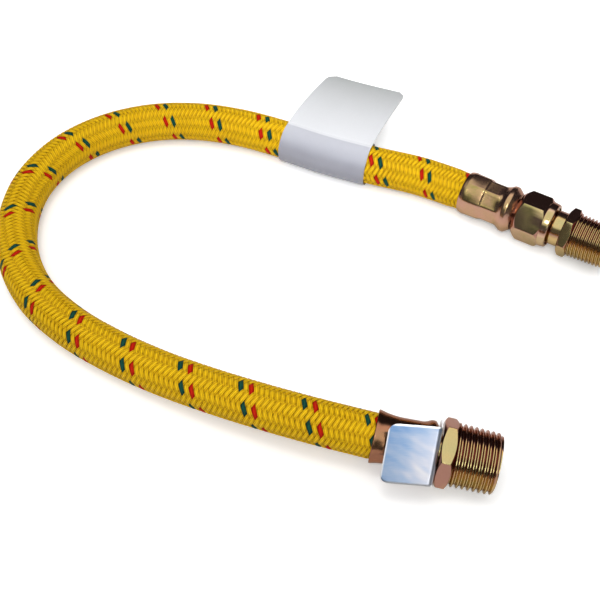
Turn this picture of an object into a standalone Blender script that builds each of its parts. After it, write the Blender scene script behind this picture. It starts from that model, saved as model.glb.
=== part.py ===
"""Braided hose assembly with a crimped pipe nipple at one end and a swivel coupling at the other.

Metres, +Z up. The hose lies on the plane Z = 0. The origin is on that plane, under the middle of the
box round the two end fittings, and +X is the way the pipe nipple points, seen from above.

Each fitting is made upright in its own frame: local Z runs out of the hose along the fitting's axis from
the ferrule's mouth, local X points level to the back and local Y up.
"""

import math

import bmesh
import bpy
import numpy as np
from mathutils import Matrix, Vector

OBJECT_NAME = "braided_hose_assembly"

# Hose
BORE_RADIUS = 0.00475
LINER_RADIUS = 0.0060
COVER_BORE_RADIUS = 0.00625
HOSE_RADIUS = 0.00775
CRIMPED_HOSE_RADIUS = 0.00685
TUBE_RESOLUTION = 4
TUBE_SIDES = 4 + 2 * TUBE_RESOLUTION
RUN_STEP = 0.012

# Clearances between pieces that touch on the real hose
GAP = 0.0003
TAG_PLAY = 0.0004

# Near ferrule, measured along the axis from its mouth
NEAR_FERRULE_LENGTH = 0.0201
NEAR_MOUTH_RADIUS = 0.0090
NEAR_WAIST_RADIUS = 0.0079
NEAR_COLLAR_RADIUS = 0.0094
NEAR_SHOULDER_RADIUS = 0.0078
NEAR_TAPER_LENGTH = 0.0065
NEAR_WAIST_LENGTH = 0.0065
NEAR_COLLAR_LENGTH = 0.0014
NEAR_SHOULDER_LENGTH = 0.0013
NEAR_COLLAR_AT = NEAR_FERRULE_LENGTH - NEAR_SHOULDER_LENGTH - NEAR_COLLAR_LENGTH

# Far ferrule
FAR_FERRULE_LENGTH = 0.0220
FAR_MOUTH_RADIUS = 0.0081
FAR_BAND_RADIUS = 0.0086
FAR_WAIST_RADIUS = 0.0079
FAR_FLAT_RADIUS = 0.00765
FAR_COLLAR_RADIUS = 0.00925
FAR_SHOULDER_RADIUS = 0.0074
FAR_RIM_LENGTH = 0.0018
FAR_BAND_LENGTH = 0.0062
FAR_WAIST_AT = 0.0098
FAR_WAIST_LENGTH = 0.0054
FAR_COLLAR_LENGTH = 0.0018
FAR_SHOULDER_LENGTH = 0.0022
FAR_COLLAR_AT = FAR_FERRULE_LENGTH - FAR_SHOULDER_LENGTH - FAR_COLLAR_LENGTH
FLAT_COUNT = 8

# How the hose end sits in a ferrule
FERRULE_END_WALL = 0.0033
HOSE_END_AT = NEAR_FERRULE_LENGTH - FERRULE_END_WALL
STEM_START = 0.0015
FAR_SQUEEZE_BEFORE = 0.0050
SQUEEZE_LENGTH = 0.0050

# Barbed stems
BARB_RADIUS = 0.0043
STEM_RADIUS = 0.0039
STEM_BORE_RADIUS = 0.0030
BARB_COUNT = 3
BARB_PITCH = 0.0042
BARB_RAMP_SHARE = 0.7
NECK_RADIUS = 0.0051

# Pipe nipple
TAG_SLOT = 0.0014
NIPPLE_HEX_FLATS = 0.0206
NIPPLE_HEX_LENGTH = 0.0048
NIPPLE_HEX_TURN = math.radians(16.4)
HALF_INCH_RADIUS = 0.01055
HALF_INCH_PITCH = 0.001814
HALF_INCH_THREADS = 7.5
NIPPLE_BORE_RADIUS = 0.0061
NIPPLE_BORE_DEPTH = 0.0160

# Tag
TAG_THICKNESS = 0.0005
TAG_LENGTH = 0.0165
TAG_WIDTH = 0.0195
TAG_CORNER = 0.0028
TAG_FLANGE_CORNER = 0.0070
TAG_BEND_RADIUS = 0.0010
TAG_FLANGE_DEPTH = 0.0173
TAG_DROP = -0.0005
TAG_SHEAR = 0.118
TAG_FACING = math.radians(134.0)
TAG_LEAN = math.radians(2.2)

# Swivel coupling
NUT_START = 0.0230
NUT_LENGTH = 0.0142
NUT_FLATS = 0.0175
NUT_HEX_TURN = math.radians(49.3)
NUT_BACK_RADIUS = 0.0080
NUT_BACK_RUN = 0.0024
NUT_NOSE_AT = 0.0112
NUT_NOSE_RUN = 0.0012
NUT_NOSE_RADIUS = 0.0090
NUT_RIM_RADIUS = 0.0086
NUT_WALL = 0.0034
HEAD_RADIUS = 0.0063
HEAD_LENGTH = 0.0042
SEAT_ANGLE = math.radians(37.0)
COUPLING_RADIUS = 0.00714
COUPLING_PITCH = 0.001411
NOSE_TIP_RADIUS = 0.0046
COUPLING_THREAD_LENGTH = 0.0045

# Pipe adapter
ADAPTER_NECK_RADIUS = 0.0068
ADAPTER_HEX_AT = 0.0418
ADAPTER_HEX_LENGTH = 0.0040
ADAPTER_FLATS = 0.0170
ADAPTER_HEX_TURN = math.radians(52.1)
THREE_EIGHTHS_RADIUS = 0.00857
THREE_EIGHTHS_PITCH = 0.001411
THREE_EIGHTHS_THREADS = 9.5
ADAPTER_BORE_RADIUS = 0.0056
ADAPTER_BORE_DEPTH = 0.0140

# Pipe threads
PIPE_TAPER = 1.0 / 32.0
THREAD_DEPTH_SHARE = 0.70
HEX_CHAMFER = math.radians(30.0)
HEX_CHAMFER_INSET = 0.0002

# Label
LABEL_THICKNESS = 0.00035
LABEL_WIDTH = 0.0365
LABEL_FLAP = 0.0275
LABEL_AT = 0.0590
LABEL_ROOT = math.radians(80.0)
LABEL_HEADING = math.radians(30.0)
LABEL_CURL = math.radians(26.0)
LABEL_SKEW = 0.31
LABEL_SIDES = 24
LABEL_BAYS = 3
FLAP_STEPS = 6

# Faces round a turned piece
FITTING_SIDES = 32
STEM_SIDES = 20

# Where the fittings lie: the ferrules' mouths, and how their axes point. The fittings stand on a corner
# of their hexagons, so their heights come from those.
NEAR_MOUTH_PLAN = (-0.0366, -0.0560)
NEAR_TILT = math.radians(-3.0)
FAR_MOUTH_FROM_NEAR = (0.0146, 0.1199)
FAR_AZIMUTH = math.radians(-18.5)
FAR_TILT = math.radians(2.0)

# The hose's route between the mouths, seen from the near mouth in plan, with its height over the floor
ROUTE = (
    (-0.0196, 0.0006, 0.01362),
    (-0.0392, 0.0028, 0.01246),
    (-0.0586, 0.0060, 0.01067),
    (-0.0778, 0.0101, 0.00891),
    (-0.0968, 0.0154, 0.00788),
    (-0.1152, 0.0222, 0.00780),
    (-0.1320, 0.0323, 0.00780),
    (-0.1450, 0.0469, 0.00780),
    (-0.1529, 0.0649, 0.00780),
    (-0.1549, 0.0843, 0.00780),
    (-0.1495, 0.1031, 0.00780),
    (-0.1375, 0.1186, 0.00780),
    (-0.1209, 0.1290, 0.00821),
    (-0.1020, 0.1341, 0.00854),
    (-0.0824, 0.1348, 0.00855),
    (-0.0629, 0.1322, 0.00855),
    (-0.0436, 0.1284, 0.00855),
    (-0.0241, 0.1259, 0.00855),
    (-0.0045, 0.1242, 0.00855),
)


# Scene

def clear_scene():
    for obj in list(bpy.data.objects):
        bpy.data.objects.remove(obj, do_unlink=True)


def new_collection(name):
    collection = bpy.data.collections.new(name)
    bpy.context.scene.collection.children.link(collection)
    return collection


def material(name, colour, roughness, metallic):
    mat = bpy.data.materials.new(name)
    mat.use_nodes = True
    shader = mat.node_tree.nodes["Principled BSDF"]
    shader.inputs["Base Color"].default_value = (*colour, 1.0)
    shader.inputs["Roughness"].default_value = roughness
    shader.inputs["Metallic"].default_value = metallic
    mat.diffuse_color = (*colour, 1.0)
    return mat


def smooth_shade(mesh, angle=30.0):
    mesh.shade_smooth()
    mesh.set_sharp_from_angle(angle=math.radians(angle))


def new_object(name, mesh, collection, mat=None):
    obj = bpy.data.objects.new(name, mesh)
    collection.objects.link(obj)
    if mat is not None:
        mesh.materials.append(mat)
    return obj


def as_cutter(obj):
    obj.hide_render = True
    obj.display_type = "WIRE"
    return obj


def evaluated_mesh(obj):
    """A plain mesh of what the object's modifiers or bevel make, in its own frame."""
    bpy.context.view_layer.update()
    graph = bpy.context.evaluated_depsgraph_get()
    mesh = bpy.data.meshes.new_from_object(obj.evaluated_get(graph), depsgraph=graph)
    build = bmesh.new()
    build.from_mesh(mesh)
    bmesh.ops.remove_doubles(build, verts=build.verts, dist=1e-6)
    build.to_mesh(mesh)
    build.free()
    return mesh


def boolean(obj, other, operation):
    step = obj.modifiers.new(operation.title(), "BOOLEAN")
    step.operation = operation
    step.object = other
    step.solver = "EXACT"
    return step


# Frames of the two fittings

def hex_corner(flats):
    return flats / 2 / math.cos(math.pi / 6)


def lowest_of_hex(flats, turn):
    """How far below its axis a hexagon reaches, when its first corner is turned by that much from X."""
    corners = [turn + math.radians(60 * k) for k in range(6)]
    return -min(hex_corner(flats) * math.sin(a) for a in corners)


def fitting_frame(plan, azimuth, tilt, rest_at, rest_depth):
    """The frame at a ferrule's mouth: its height lets the axis pass rest_depth over the floor at rest_at."""
    axis = Vector((
        math.cos(azimuth) * math.cos(tilt),
        math.sin(azimuth) * math.cos(tilt),
        math.sin(tilt),
    ))
    back = Vector((-math.sin(azimuth), math.cos(azimuth), 0.0))
    up = axis.cross(back)
    height = rest_depth * math.cos(tilt) - rest_at * math.sin(tilt)
    frame = Matrix((back, up, axis)).transposed().to_4x4()
    frame.translation = Vector((plan[0], plan[1], height))
    return frame


NIPPLE_HEX_AT = NEAR_FERRULE_LENGTH + TAG_SLOT
NEAR_FRAME = fitting_frame(
    NEAR_MOUTH_PLAN,
    0.0,
    NEAR_TILT,
    NIPPLE_HEX_AT + NIPPLE_HEX_LENGTH,
    lowest_of_hex(NIPPLE_HEX_FLATS, NIPPLE_HEX_TURN),
)
FAR_FRAME = fitting_frame(
    (NEAR_MOUTH_PLAN[0] + FAR_MOUTH_FROM_NEAR[0], NEAR_MOUTH_PLAN[1] + FAR_MOUTH_FROM_NEAR[1]),
    FAR_AZIMUTH,
    FAR_TILT,
    NUT_START + NUT_BACK_RUN,
    lowest_of_hex(NUT_FLATS, NUT_HEX_TURN),
)


def frame_empty(name, frame, collection):
    empty = bpy.data.objects.new(name, None)
    empty.matrix_world = frame
    collection.objects.link(empty)
    return empty


def seat(obj, empty, along=0.0):
    """Parents a piece to a fitting's frame, with its own origin that far along the axis."""
    obj.parent = empty
    obj.location = (0.0, 0.0, along)
    return obj


# Turned work

def turned(name, profile, collection, mat=None, sides=FITTING_SIDES, closed=True):
    """A profile of (height, radius) pairs, top to bottom on its outer side, spun round local Z."""
    mesh = bpy.data.meshes.new(name)
    points = [(radius, 0.0, height) for height, radius in profile]
    edges = [(i, i + 1) for i in range(len(points) - 1)]
    if closed:
        edges.append((len(points) - 1, 0))
    mesh.from_pydata(points, edges, [])
    obj = new_object(name, mesh, collection, mat)
    spin = obj.modifiers.new("Spin", "SCREW")
    spin.axis = "Z"
    spin.angle = 2 * math.pi
    spin.screw_offset = 0.0
    spin.steps = sides
    spin.render_steps = sides
    spin.use_merge_vertices = True
    spin.merge_threshold = 1e-6
    spin.use_smooth_shade = True
    return obj


def capped(profile):
    """Closes an outer profile on the axis, for a solid with no bore."""
    return [(profile[0][0], 0.0), *profile, (profile[-1][0], 0.0)]


def hexagon(name, flats, low, high, turn, bore, collection, low_end, high_end):
    """A hexagon prism from low to high with a round bore. Each end is turned to a cone: its radius at the
    end face, and how far along the axis it runs before it clears the corners."""
    corner = hex_corner(flats)
    build = bmesh.new()
    bmesh.ops.create_cone(
        build,
        cap_ends=True,
        segments=6,
        radius1=corner,
        radius2=corner,
        depth=high - low,
        matrix=Matrix.Translation((0, 0, (low + high) / 2)) @ Matrix.Rotation(turn - math.pi / 2, 4, "Z"),
    )
    mesh = bpy.data.meshes.new(name)
    build.to_mesh(mesh)
    build.free()
    prism = new_object(name, mesh, collection)
    reach = corner + GAP
    low_run = low_end[1] * (reach - low_end[0]) / (corner - low_end[0])
    high_run = high_end[1] * (reach - high_end[0]) / (corner - high_end[0])
    barrel = turned(
        name + "_turning",
        [
            (high, bore),
            (high, high_end[0]),
            (high - high_run, reach),
            (low + low_run, reach),
            (low, low_end[0]),
            (low, bore),
        ],
        collection,
    )
    barrel.parent = prism
    as_cutter(barrel)
    as_cutter(prism)
    boolean(prism, barrel, "INTERSECT")
    return prism


def chamfered(flats):
    """A plain 30 degree chamfer on a hexagon: its radius at the end face and its run."""
    radius = flats / 2 - HEX_CHAMFER_INSET
    return radius, (hex_corner(flats) - radius) * math.tan(HEX_CHAMFER)


def thread_ridges(start, turns, radius, pitch, taper):
    """Ridges of a pipe thread from its big end: (height, radius) pairs, in order of falling height."""
    depth = THREAD_DEPTH_SHARE * pitch
    pairs = []
    for k in range(int(round(turns * 2)) + 1):
        height = start + k * pitch / 2
        crest = radius - taper * (height - start)
        pairs.append((height, crest if k % 2 else crest - depth))
    return pairs[::-1]


def barbs(shoulder):
    """The outer side of a barbed stem below its shoulder, in order of falling height."""
    pairs = [(shoulder, NECK_RADIUS), (shoulder, STEM_RADIUS)]
    first = STEM_START + BARB_PITCH
    tops = [first + k * BARB_PITCH for k in range(BARB_COUNT)]
    for top in reversed(tops):
        pairs.append((top, STEM_RADIUS))
        pairs.append((top - GAP, BARB_RADIUS))
        pairs.append((top - BARB_PITCH * BARB_RAMP_SHARE, STEM_RADIUS))
    pairs.append((STEM_START, STEM_RADIUS - GAP))
    return pairs


# Route and tubes

def catmull_rom(points, samples):
    """A smooth line through the points."""
    pts = np.array(points)
    pts = np.vstack([2 * pts[0] - pts[1], pts, 2 * pts[-1] - pts[-2]])
    line = []
    for i in range(1, len(pts) - 2):
        a, b, c, d = pts[i - 1:i + 3]
        for t in np.linspace(0, 1, samples, endpoint=False):
            line.append(
                0.5 * (2 * b + (c - a) * t + (2 * a - 5 * b + 4 * c - d) * t**2
                       + (3 * b - a - 3 * c + d) * t**3)
            )
    line.append(pts[-2])
    return np.array(line)


def even_stations(line, step):
    """Points along the line at equal steps, as near to step as the length allows."""
    gaps = np.linalg.norm(np.diff(line, axis=0), axis=1)
    run = np.concatenate([[0.0], np.cumsum(gaps)])
    count = max(2, int(round(run[-1] / step)))
    at = np.linspace(0.0, run[-1], count + 1)
    return np.stack([np.interp(at, run, line[:, k]) for k in range(3)], axis=1)


def along(frame, distance):
    return np.array(frame @ Vector((0.0, 0.0, distance)))


def free_line():
    """The smooth middle line between the two ferrules' mouths."""
    start = along(NEAR_FRAME, 0.0)
    end = along(FAR_FRAME, 0.0)
    middle = [
        (start[0] + x, start[1] + y, z)
        for x, y, z in ROUTE
    ]
    return catmull_rom([start, *middle, end], 12)


def hose_path():
    """Middle-line points with the cover's radius at each, from inside one ferrule to inside the other."""
    free = even_stations(free_line(), RUN_STEP)
    inside = (HOSE_END_AT, SQUEEZE_LENGTH)
    points = [along(NEAR_FRAME, d) for d in inside]
    radii = [CRIMPED_HOSE_RADIUS, CRIMPED_HOSE_RADIUS]
    points.extend(free[:-1])
    radii.extend([HOSE_RADIUS] * (len(free) - 1))
    last = free[-1]
    before = last + (free[-2] - last) * FAR_SQUEEZE_BEFORE / np.linalg.norm(free[-2] - last)
    share = FAR_SQUEEZE_BEFORE / (FAR_SQUEEZE_BEFORE + SQUEEZE_LENGTH)
    mouth_radius = HOSE_RADIUS + (CRIMPED_HOSE_RADIUS - HOSE_RADIUS) * share
    points.extend([before, last])
    radii.extend([HOSE_RADIUS, mouth_radius])
    points.extend(along(FAR_FRAME, d) for d in inside[::-1])
    radii.extend([CRIMPED_HOSE_RADIUS, CRIMPED_HOSE_RADIUS])
    return points, radii


def tube(name, points, radii, collection, overrun=0.0):
    """A round tube with capped ends, as a mesh. overrun lengthens both ends."""
    pts = [Vector(p) for p in points]
    pts[0] = pts[0] + (pts[0] - pts[1]).normalized() * overrun
    pts[-1] = pts[-1] + (pts[-1] - pts[-2]).normalized() * overrun
    curve = bpy.data.curves.new(name, "CURVE")
    curve.dimensions = "3D"
    curve.bevel_depth = max(radii)
    curve.bevel_resolution = TUBE_RESOLUTION
    curve.use_fill_caps = True
    spline = curve.splines.new("POLY")
    spline.points.add(len(pts) - 1)
    for point, place, radius in zip(spline.points, pts, radii):
        point.co = (*place, 1.0)
        point.radius = radius / max(radii)
    carrier = bpy.data.objects.new(name, curve)
    collection.objects.link(carrier)
    mesh = evaluated_mesh(carrier)
    mesh.transform(carrier.matrix_world)
    bpy.data.objects.remove(carrier, do_unlink=True)
    mesh.name = name
    return new_object(name, mesh, collection)


def hollow_tube(name, points, radii, bore, parts, cutters, mat):
    outer = tube(name, points, radii, parts)
    outer.data.materials.append(mat)
    inner = tube(name + "_bore", points, [bore] * len(points), cutters, overrun=0.001)
    as_cutter(inner)
    boolean(outer, inner, "DIFFERENCE")
    smooth_shade(outer.data)
    return outer


# Sub-parts

def round_over(radius):
    """The turned radius whose flats clear that round one."""
    return radius / math.cos(math.pi / FITTING_SIDES)


def make_near_ferrule(parts, mat):
    bore = round_over(CRIMPED_HOSE_RADIUS + GAP)
    mouth_bore = round_over(HOSE_RADIUS + GAP)
    lip = round_over(NECK_RADIUS + GAP)
    lip_at = HOSE_END_AT + GAP
    waist_end = NEAR_TAPER_LENGTH + NEAR_WAIST_LENGTH
    profile = [
        (NEAR_FERRULE_LENGTH, lip),
        (NEAR_FERRULE_LENGTH, NEAR_SHOULDER_RADIUS),
        (NEAR_COLLAR_AT + NEAR_COLLAR_LENGTH, NEAR_COLLAR_RADIUS),
        (NEAR_COLLAR_AT, NEAR_COLLAR_RADIUS),
        (waist_end, NEAR_WAIST_RADIUS + GAP),
        (NEAR_TAPER_LENGTH, NEAR_WAIST_RADIUS),
        (NEAR_TAPER_LENGTH / 2, (NEAR_WAIST_RADIUS + NEAR_MOUTH_RADIUS) / 2),
        (0.0, NEAR_MOUTH_RADIUS),
        (0.0, mouth_bore + GAP),
        (SQUEEZE_LENGTH, bore),
        (lip_at, bore),
        (lip_at, lip),
    ]
    return turned("near_ferrule", profile, parts, mat)


def make_far_ferrule(parts, cutters, mat):
    share = FAR_SQUEEZE_BEFORE / (FAR_SQUEEZE_BEFORE + SQUEEZE_LENGTH)
    mouth_hose = HOSE_RADIUS + (CRIMPED_HOSE_RADIUS - HOSE_RADIUS) * share
    bore = round_over(CRIMPED_HOSE_RADIUS + GAP)
    lip = round_over(NECK_RADIUS + GAP)
    lip_at = HOSE_END_AT + GAP
    waist_end = FAR_WAIST_AT + FAR_WAIST_LENGTH
    profile = [
        (FAR_FERRULE_LENGTH, lip),
        (FAR_FERRULE_LENGTH, FAR_SHOULDER_RADIUS),
        (FAR_COLLAR_AT + FAR_COLLAR_LENGTH, FAR_COLLAR_RADIUS),
        (FAR_COLLAR_AT, FAR_COLLAR_RADIUS),
        (waist_end, FAR_WAIST_RADIUS),
        (FAR_WAIST_AT, FAR_WAIST_RADIUS),
        (FAR_RIM_LENGTH + FAR_BAND_LENGTH, FAR_BAND_RADIUS - GAP),
        (FAR_RIM_LENGTH, FAR_BAND_RADIUS),
        (0.0, FAR_MOUTH_RADIUS),
        (0.0, round_over(mouth_hose + GAP)),
        (SQUEEZE_LENGTH, bore),
        (lip_at, bore),
        (lip_at, lip),
    ]
    ferrule = turned("far_ferrule", profile, parts, mat)
    press = turned(
        "far_press",
        [
            (waist_end, 2 * FAR_COLLAR_RADIUS),
            (FAR_WAIST_AT, 2 * FAR_COLLAR_RADIUS),
            (FAR_WAIST_AT, FAR_FLAT_RADIUS / math.cos(math.pi / FLAT_COUNT)),
            (waist_end, FAR_FLAT_RADIUS / math.cos(math.pi / FLAT_COUNT)),
        ],
        cutters,
        sides=FLAT_COUNT,
    )
    as_cutter(press)
    boolean(ferrule, press, "DIFFERENCE")
    return ferrule, press


def make_pipe_nipple(parts, cutters, mat):
    thread_at = NIPPLE_HEX_AT + NIPPLE_HEX_LENGTH
    ridges = thread_ridges(
        thread_at, HALF_INCH_THREADS, HALF_INCH_RADIUS, HALF_INCH_PITCH, PIPE_TAPER
    )
    tip = ridges[0][0] + HALF_INCH_PITCH / 2
    tip_radius = ridges[0][1] - HALF_INCH_PITCH / 2
    shoulder = HOSE_END_AT + GAP
    profile = [
        (tip, NIPPLE_BORE_RADIUS),
        (tip, tip_radius),
        *ridges,
        (NIPPLE_HEX_AT, ridges[-1][1]),
        (NIPPLE_HEX_AT, NECK_RADIUS),
        *barbs(shoulder),
        (STEM_START, STEM_BORE_RADIUS),
        (tip - NIPPLE_BORE_DEPTH, STEM_BORE_RADIUS),
        (tip - NIPPLE_BORE_DEPTH + NIPPLE_BORE_RADIUS - STEM_BORE_RADIUS, NIPPLE_BORE_RADIUS),
    ]
    nipple = turned("pipe_nipple", profile, parts, mat)
    prism = hexagon(
        "nipple_hexagon",
        NIPPLE_HEX_FLATS,
        NIPPLE_HEX_AT,
        thread_at,
        NIPPLE_HEX_TURN,
        (NIPPLE_BORE_RADIUS + ridges[-1][1]) / 2,
        cutters,
        chamfered(NIPPLE_HEX_FLATS),
        chamfered(NIPPLE_HEX_FLATS),
    )
    boolean(nipple, prism, "UNION")
    return nipple, prism


def make_id_tag(parts, cutters, mat):
    """The L-shaped tag, upright in the near fitting's frame before it is turned to face the viewer."""
    inner = TAG_BEND_RADIUS
    outline = [(-TAG_LENGTH, 0.0)]
    for k in range(5):
        angle = math.pi / 2 * k / 4
        outline.append((-inner + inner * math.sin(angle), -inner + inner * math.cos(angle)))
    outline.append((0.0, -TAG_FLANGE_DEPTH))
    half = TAG_WIDTH / 2
    build = bmesh.new()
    rows = []
    for side in (-half, half):
        rows.append([
            build.verts.new((out, side + TAG_SHEAR * max(0.0, -length - inner), length))
            for length, out in outline
        ])
    for i in range(len(outline) - 1):
        build.faces.new((rows[0][i], rows[0][i + 1], rows[1][i + 1], rows[1][i]))
    bmesh.ops.recalc_face_normals(build, faces=build.faces)
    mesh = bpy.data.meshes.new("id_tag")
    build.to_mesh(mesh)
    build.free()
    tag = new_object("id_tag", mesh, parts, mat)
    wall = tag.modifiers.new("Sheet", "SOLIDIFY")
    wall.thickness = TAG_THICKNESS
    wall.offset = 0.0
    wall.use_even_offset = True

    stand_off = NEAR_COLLAR_RADIUS + TAG_PLAY + TAG_THICKNESS
    hole = turned(
        "tag_hole",
        capped([(TAG_THICKNESS * 3, NECK_RADIUS + TAG_PLAY), (-TAG_THICKNESS * 3, NECK_RADIUS + TAG_PLAY)]),
        cutters,
        sides=STEM_SIDES,
        closed=False,
    )
    hole.location = (-stand_off, -TAG_DROP, 0.0)
    as_cutter(hole)
    boolean(tag, hole, "DIFFERENCE")

    to_plate = Matrix(((0, 0, 1, 0), (0, 1, 0, 0), (-1, 0, 0, 0), (0, 0, 0, 1)))
    to_flange = Matrix(((-1, 0, 0, 0), (0, 1, 0, 0), (0, 0, -1, 0), (0, 0, 0, 1)))
    corners = []
    for leg, place, reach, radius in (
        ("plate", to_plate, TAG_LENGTH, TAG_CORNER),
        ("flange", to_flange, TAG_FLANGE_DEPTH, TAG_FLANGE_CORNER),
    ):
        shear = TAG_SHEAR if leg == "plate" else 0.0
        for side, end in ((-1, "low"), (1, "high")):
            corner = tag_corner(f"tag_{leg}_{end}", reach, side, radius, shear, cutters)
            corner.data.transform(place)
            boolean(tag, corner, "DIFFERENCE")
            corners.append(corner)
    return tag, [hole, *corners], stand_off


def tag_corner(name, reach, side, radius, shear, cutters):
    """What is cut away to round one free corner of a flat leg that reaches out along X."""
    half = TAG_WIDTH / 2
    points = [(reach + GAP, side * (half + GAP)), (reach - radius, side * (half + GAP))]
    for k in range(6):
        angle = math.pi / 2 * k / 5
        points.append((
            reach - radius * (1 - math.sin(angle)),
            side * (half - radius * (1 - math.cos(angle))),
        ))
    points.append((reach + GAP, side * (half - radius)))
    curve = bpy.data.curves.new(name, "CURVE")
    curve.dimensions = "2D"
    curve.fill_mode = "BOTH"
    curve.extrude = TAG_THICKNESS * 2
    spline = curve.splines.new("POLY")
    spline.points.add(len(points) - 1)
    for point, (x, y) in zip(spline.points, points):
        point.co = (x, y + shear * (x - TAG_BEND_RADIUS), 0.0, 1.0)
    spline.use_cyclic_u = True
    carrier = bpy.data.objects.new(name, curve)
    cutters.objects.link(carrier)
    mesh = evaluated_mesh(carrier)
    bpy.data.objects.remove(carrier, do_unlink=True)
    return as_cutter(new_object(name, mesh, cutters))


def make_swivel_stem(parts, mat):
    head_at = NUT_START + NUT_WALL + GAP
    head_end = head_at + HEAD_LENGTH
    seat_radius = HEAD_RADIUS - GAP
    seat_depth = (seat_radius - STEM_BORE_RADIUS) / math.tan(SEAT_ANGLE)
    profile = [
        (head_end, seat_radius),
        (head_end, HEAD_RADIUS),
        (head_at, HEAD_RADIUS),
        (head_at, NECK_RADIUS),
        *barbs(HOSE_END_AT + GAP),
        (STEM_START, STEM_BORE_RADIUS),
        (head_end - seat_depth, STEM_BORE_RADIUS),
    ]
    return turned("swivel_stem", profile, parts, mat, sides=STEM_SIDES)


def make_swivel_nut(parts, cutters, mat):
    """Local Z starts at the nut's back face."""
    inside = round_over(COUPLING_RADIUS + GAP)
    neck_hole = round_over(NECK_RADIUS + GAP)
    profile = [
        (NUT_LENGTH, inside),
        (NUT_LENGTH, NUT_RIM_RADIUS),
        (NUT_NOSE_AT, NUT_NOSE_RADIUS),
        (NUT_NOSE_AT - NUT_NOSE_RUN, NUT_BACK_RADIUS),
        (0.0, NUT_BACK_RADIUS),
        (0.0, neck_hole),
        (NUT_WALL, neck_hole),
        (NUT_WALL, inside),
    ]
    nut = turned("swivel_nut", profile, parts, mat)
    prism = hexagon(
        "nut_hexagon",
        NUT_FLATS,
        0.0,
        NUT_NOSE_AT,
        NUT_HEX_TURN,
        (inside + NUT_BACK_RADIUS) / 2,
        cutters,
        (NUT_BACK_RADIUS, NUT_BACK_RUN),
        (NUT_NOSE_RADIUS, NUT_NOSE_RUN),
    )
    boolean(nut, prism, "UNION")
    return nut, prism


def make_pipe_adapter(parts, cutters, mat):
    """Local Z starts at the nut's back face, so the piece slides along its own Z."""
    seat_end = NUT_WALL + GAP + HEAD_LENGTH
    cone_offset = GAP / math.sin(SEAT_ANGLE)
    cone_foot = seat_end + cone_offset
    tip_at = cone_foot - (HEAD_RADIUS - GAP - NOSE_TIP_RADIUS) / math.tan(SEAT_ANGLE)
    cone_end = tip_at + (COUPLING_RADIUS - GAP - NOSE_TIP_RADIUS) / math.tan(SEAT_ANGLE)
    coupling_end = cone_end + COUPLING_THREAD_LENGTH
    hex_at = ADAPTER_HEX_AT - NUT_START
    thread_at = hex_at + ADAPTER_HEX_LENGTH
    ridges = thread_ridges(
        thread_at, THREE_EIGHTHS_THREADS, THREE_EIGHTHS_RADIUS, THREE_EIGHTHS_PITCH, PIPE_TAPER
    )
    tip = ridges[0][0] + THREE_EIGHTHS_PITCH / 2
    bore_end = tip - ADAPTER_BORE_DEPTH
    profile = [
        (tip, ADAPTER_BORE_RADIUS),
        (tip, ridges[0][1] - THREE_EIGHTHS_PITCH / 2),
        *ridges,
        (hex_at, ridges[-1][1]),
        (hex_at, ADAPTER_NECK_RADIUS),
        (coupling_end, ADAPTER_NECK_RADIUS),
        (coupling_end, COUPLING_RADIUS),
        (cone_end, COUPLING_RADIUS - GAP),
        (tip_at, NOSE_TIP_RADIUS),
        (tip_at, STEM_BORE_RADIUS + GAP),
        (bore_end, STEM_BORE_RADIUS + GAP),
        (bore_end + ADAPTER_BORE_RADIUS - STEM_BORE_RADIUS - GAP, ADAPTER_BORE_RADIUS),
    ]
    adapter = turned("pipe_adapter", profile, parts, mat)
    prism = hexagon(
        "adapter_hexagon",
        ADAPTER_FLATS,
        hex_at,
        thread_at,
        ADAPTER_HEX_TURN,
        (STEM_BORE_RADIUS + ADAPTER_NECK_RADIUS) / 2 + GAP,
        cutters,
        chamfered(ADAPTER_FLATS),
        chamfered(ADAPTER_FLATS),
    )
    boolean(adapter, prism, "UNION")
    return adapter, prism


def hose_at(line, run, distance):
    """The middle line's point that far along it."""
    return Vector([float(np.interp(distance, run, line[:, k])) for k in range(3)])


def label_outline():
    """The label's edge-on line: round the hose, out along the flap and back. The second loop is its hole."""
    clear = (HOSE_RADIUS + GAP) / math.cos(math.pi / LABEL_SIDES)
    outer = clear + LABEL_THICKNESS
    lift = LABEL_HEADING - (LABEL_ROOT - math.pi / 2)
    half_neck = LABEL_THICKNESS / math.sin(lift) / outer
    ring = [
        (outer * math.cos(a), outer * math.sin(a))
        for a in np.linspace(LABEL_ROOT + half_neck - 2 * math.pi, LABEL_ROOT - half_neck, LABEL_SIDES + 1)
    ]
    place = Vector((outer * math.cos(LABEL_ROOT), outer * math.sin(LABEL_ROOT)))
    heading = LABEL_HEADING
    upper = []
    under = []
    for _ in range(FLAP_STEPS):
        place = place + Vector((math.cos(heading), math.sin(heading))) * LABEL_FLAP / FLAP_STEPS
        heading -= LABEL_CURL / FLAP_STEPS
        normal = Vector((-math.sin(heading), math.cos(heading))) * LABEL_THICKNESS
        upper.append(tuple(place + normal))
        under.append(tuple(place - normal))
    hole = [
        (clear * math.cos(a), clear * math.sin(a))
        for a in np.linspace(0, 2 * math.pi, LABEL_SIDES, endpoint=False)
    ]
    return [*ring, *under, *upper[::-1]], hole


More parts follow.
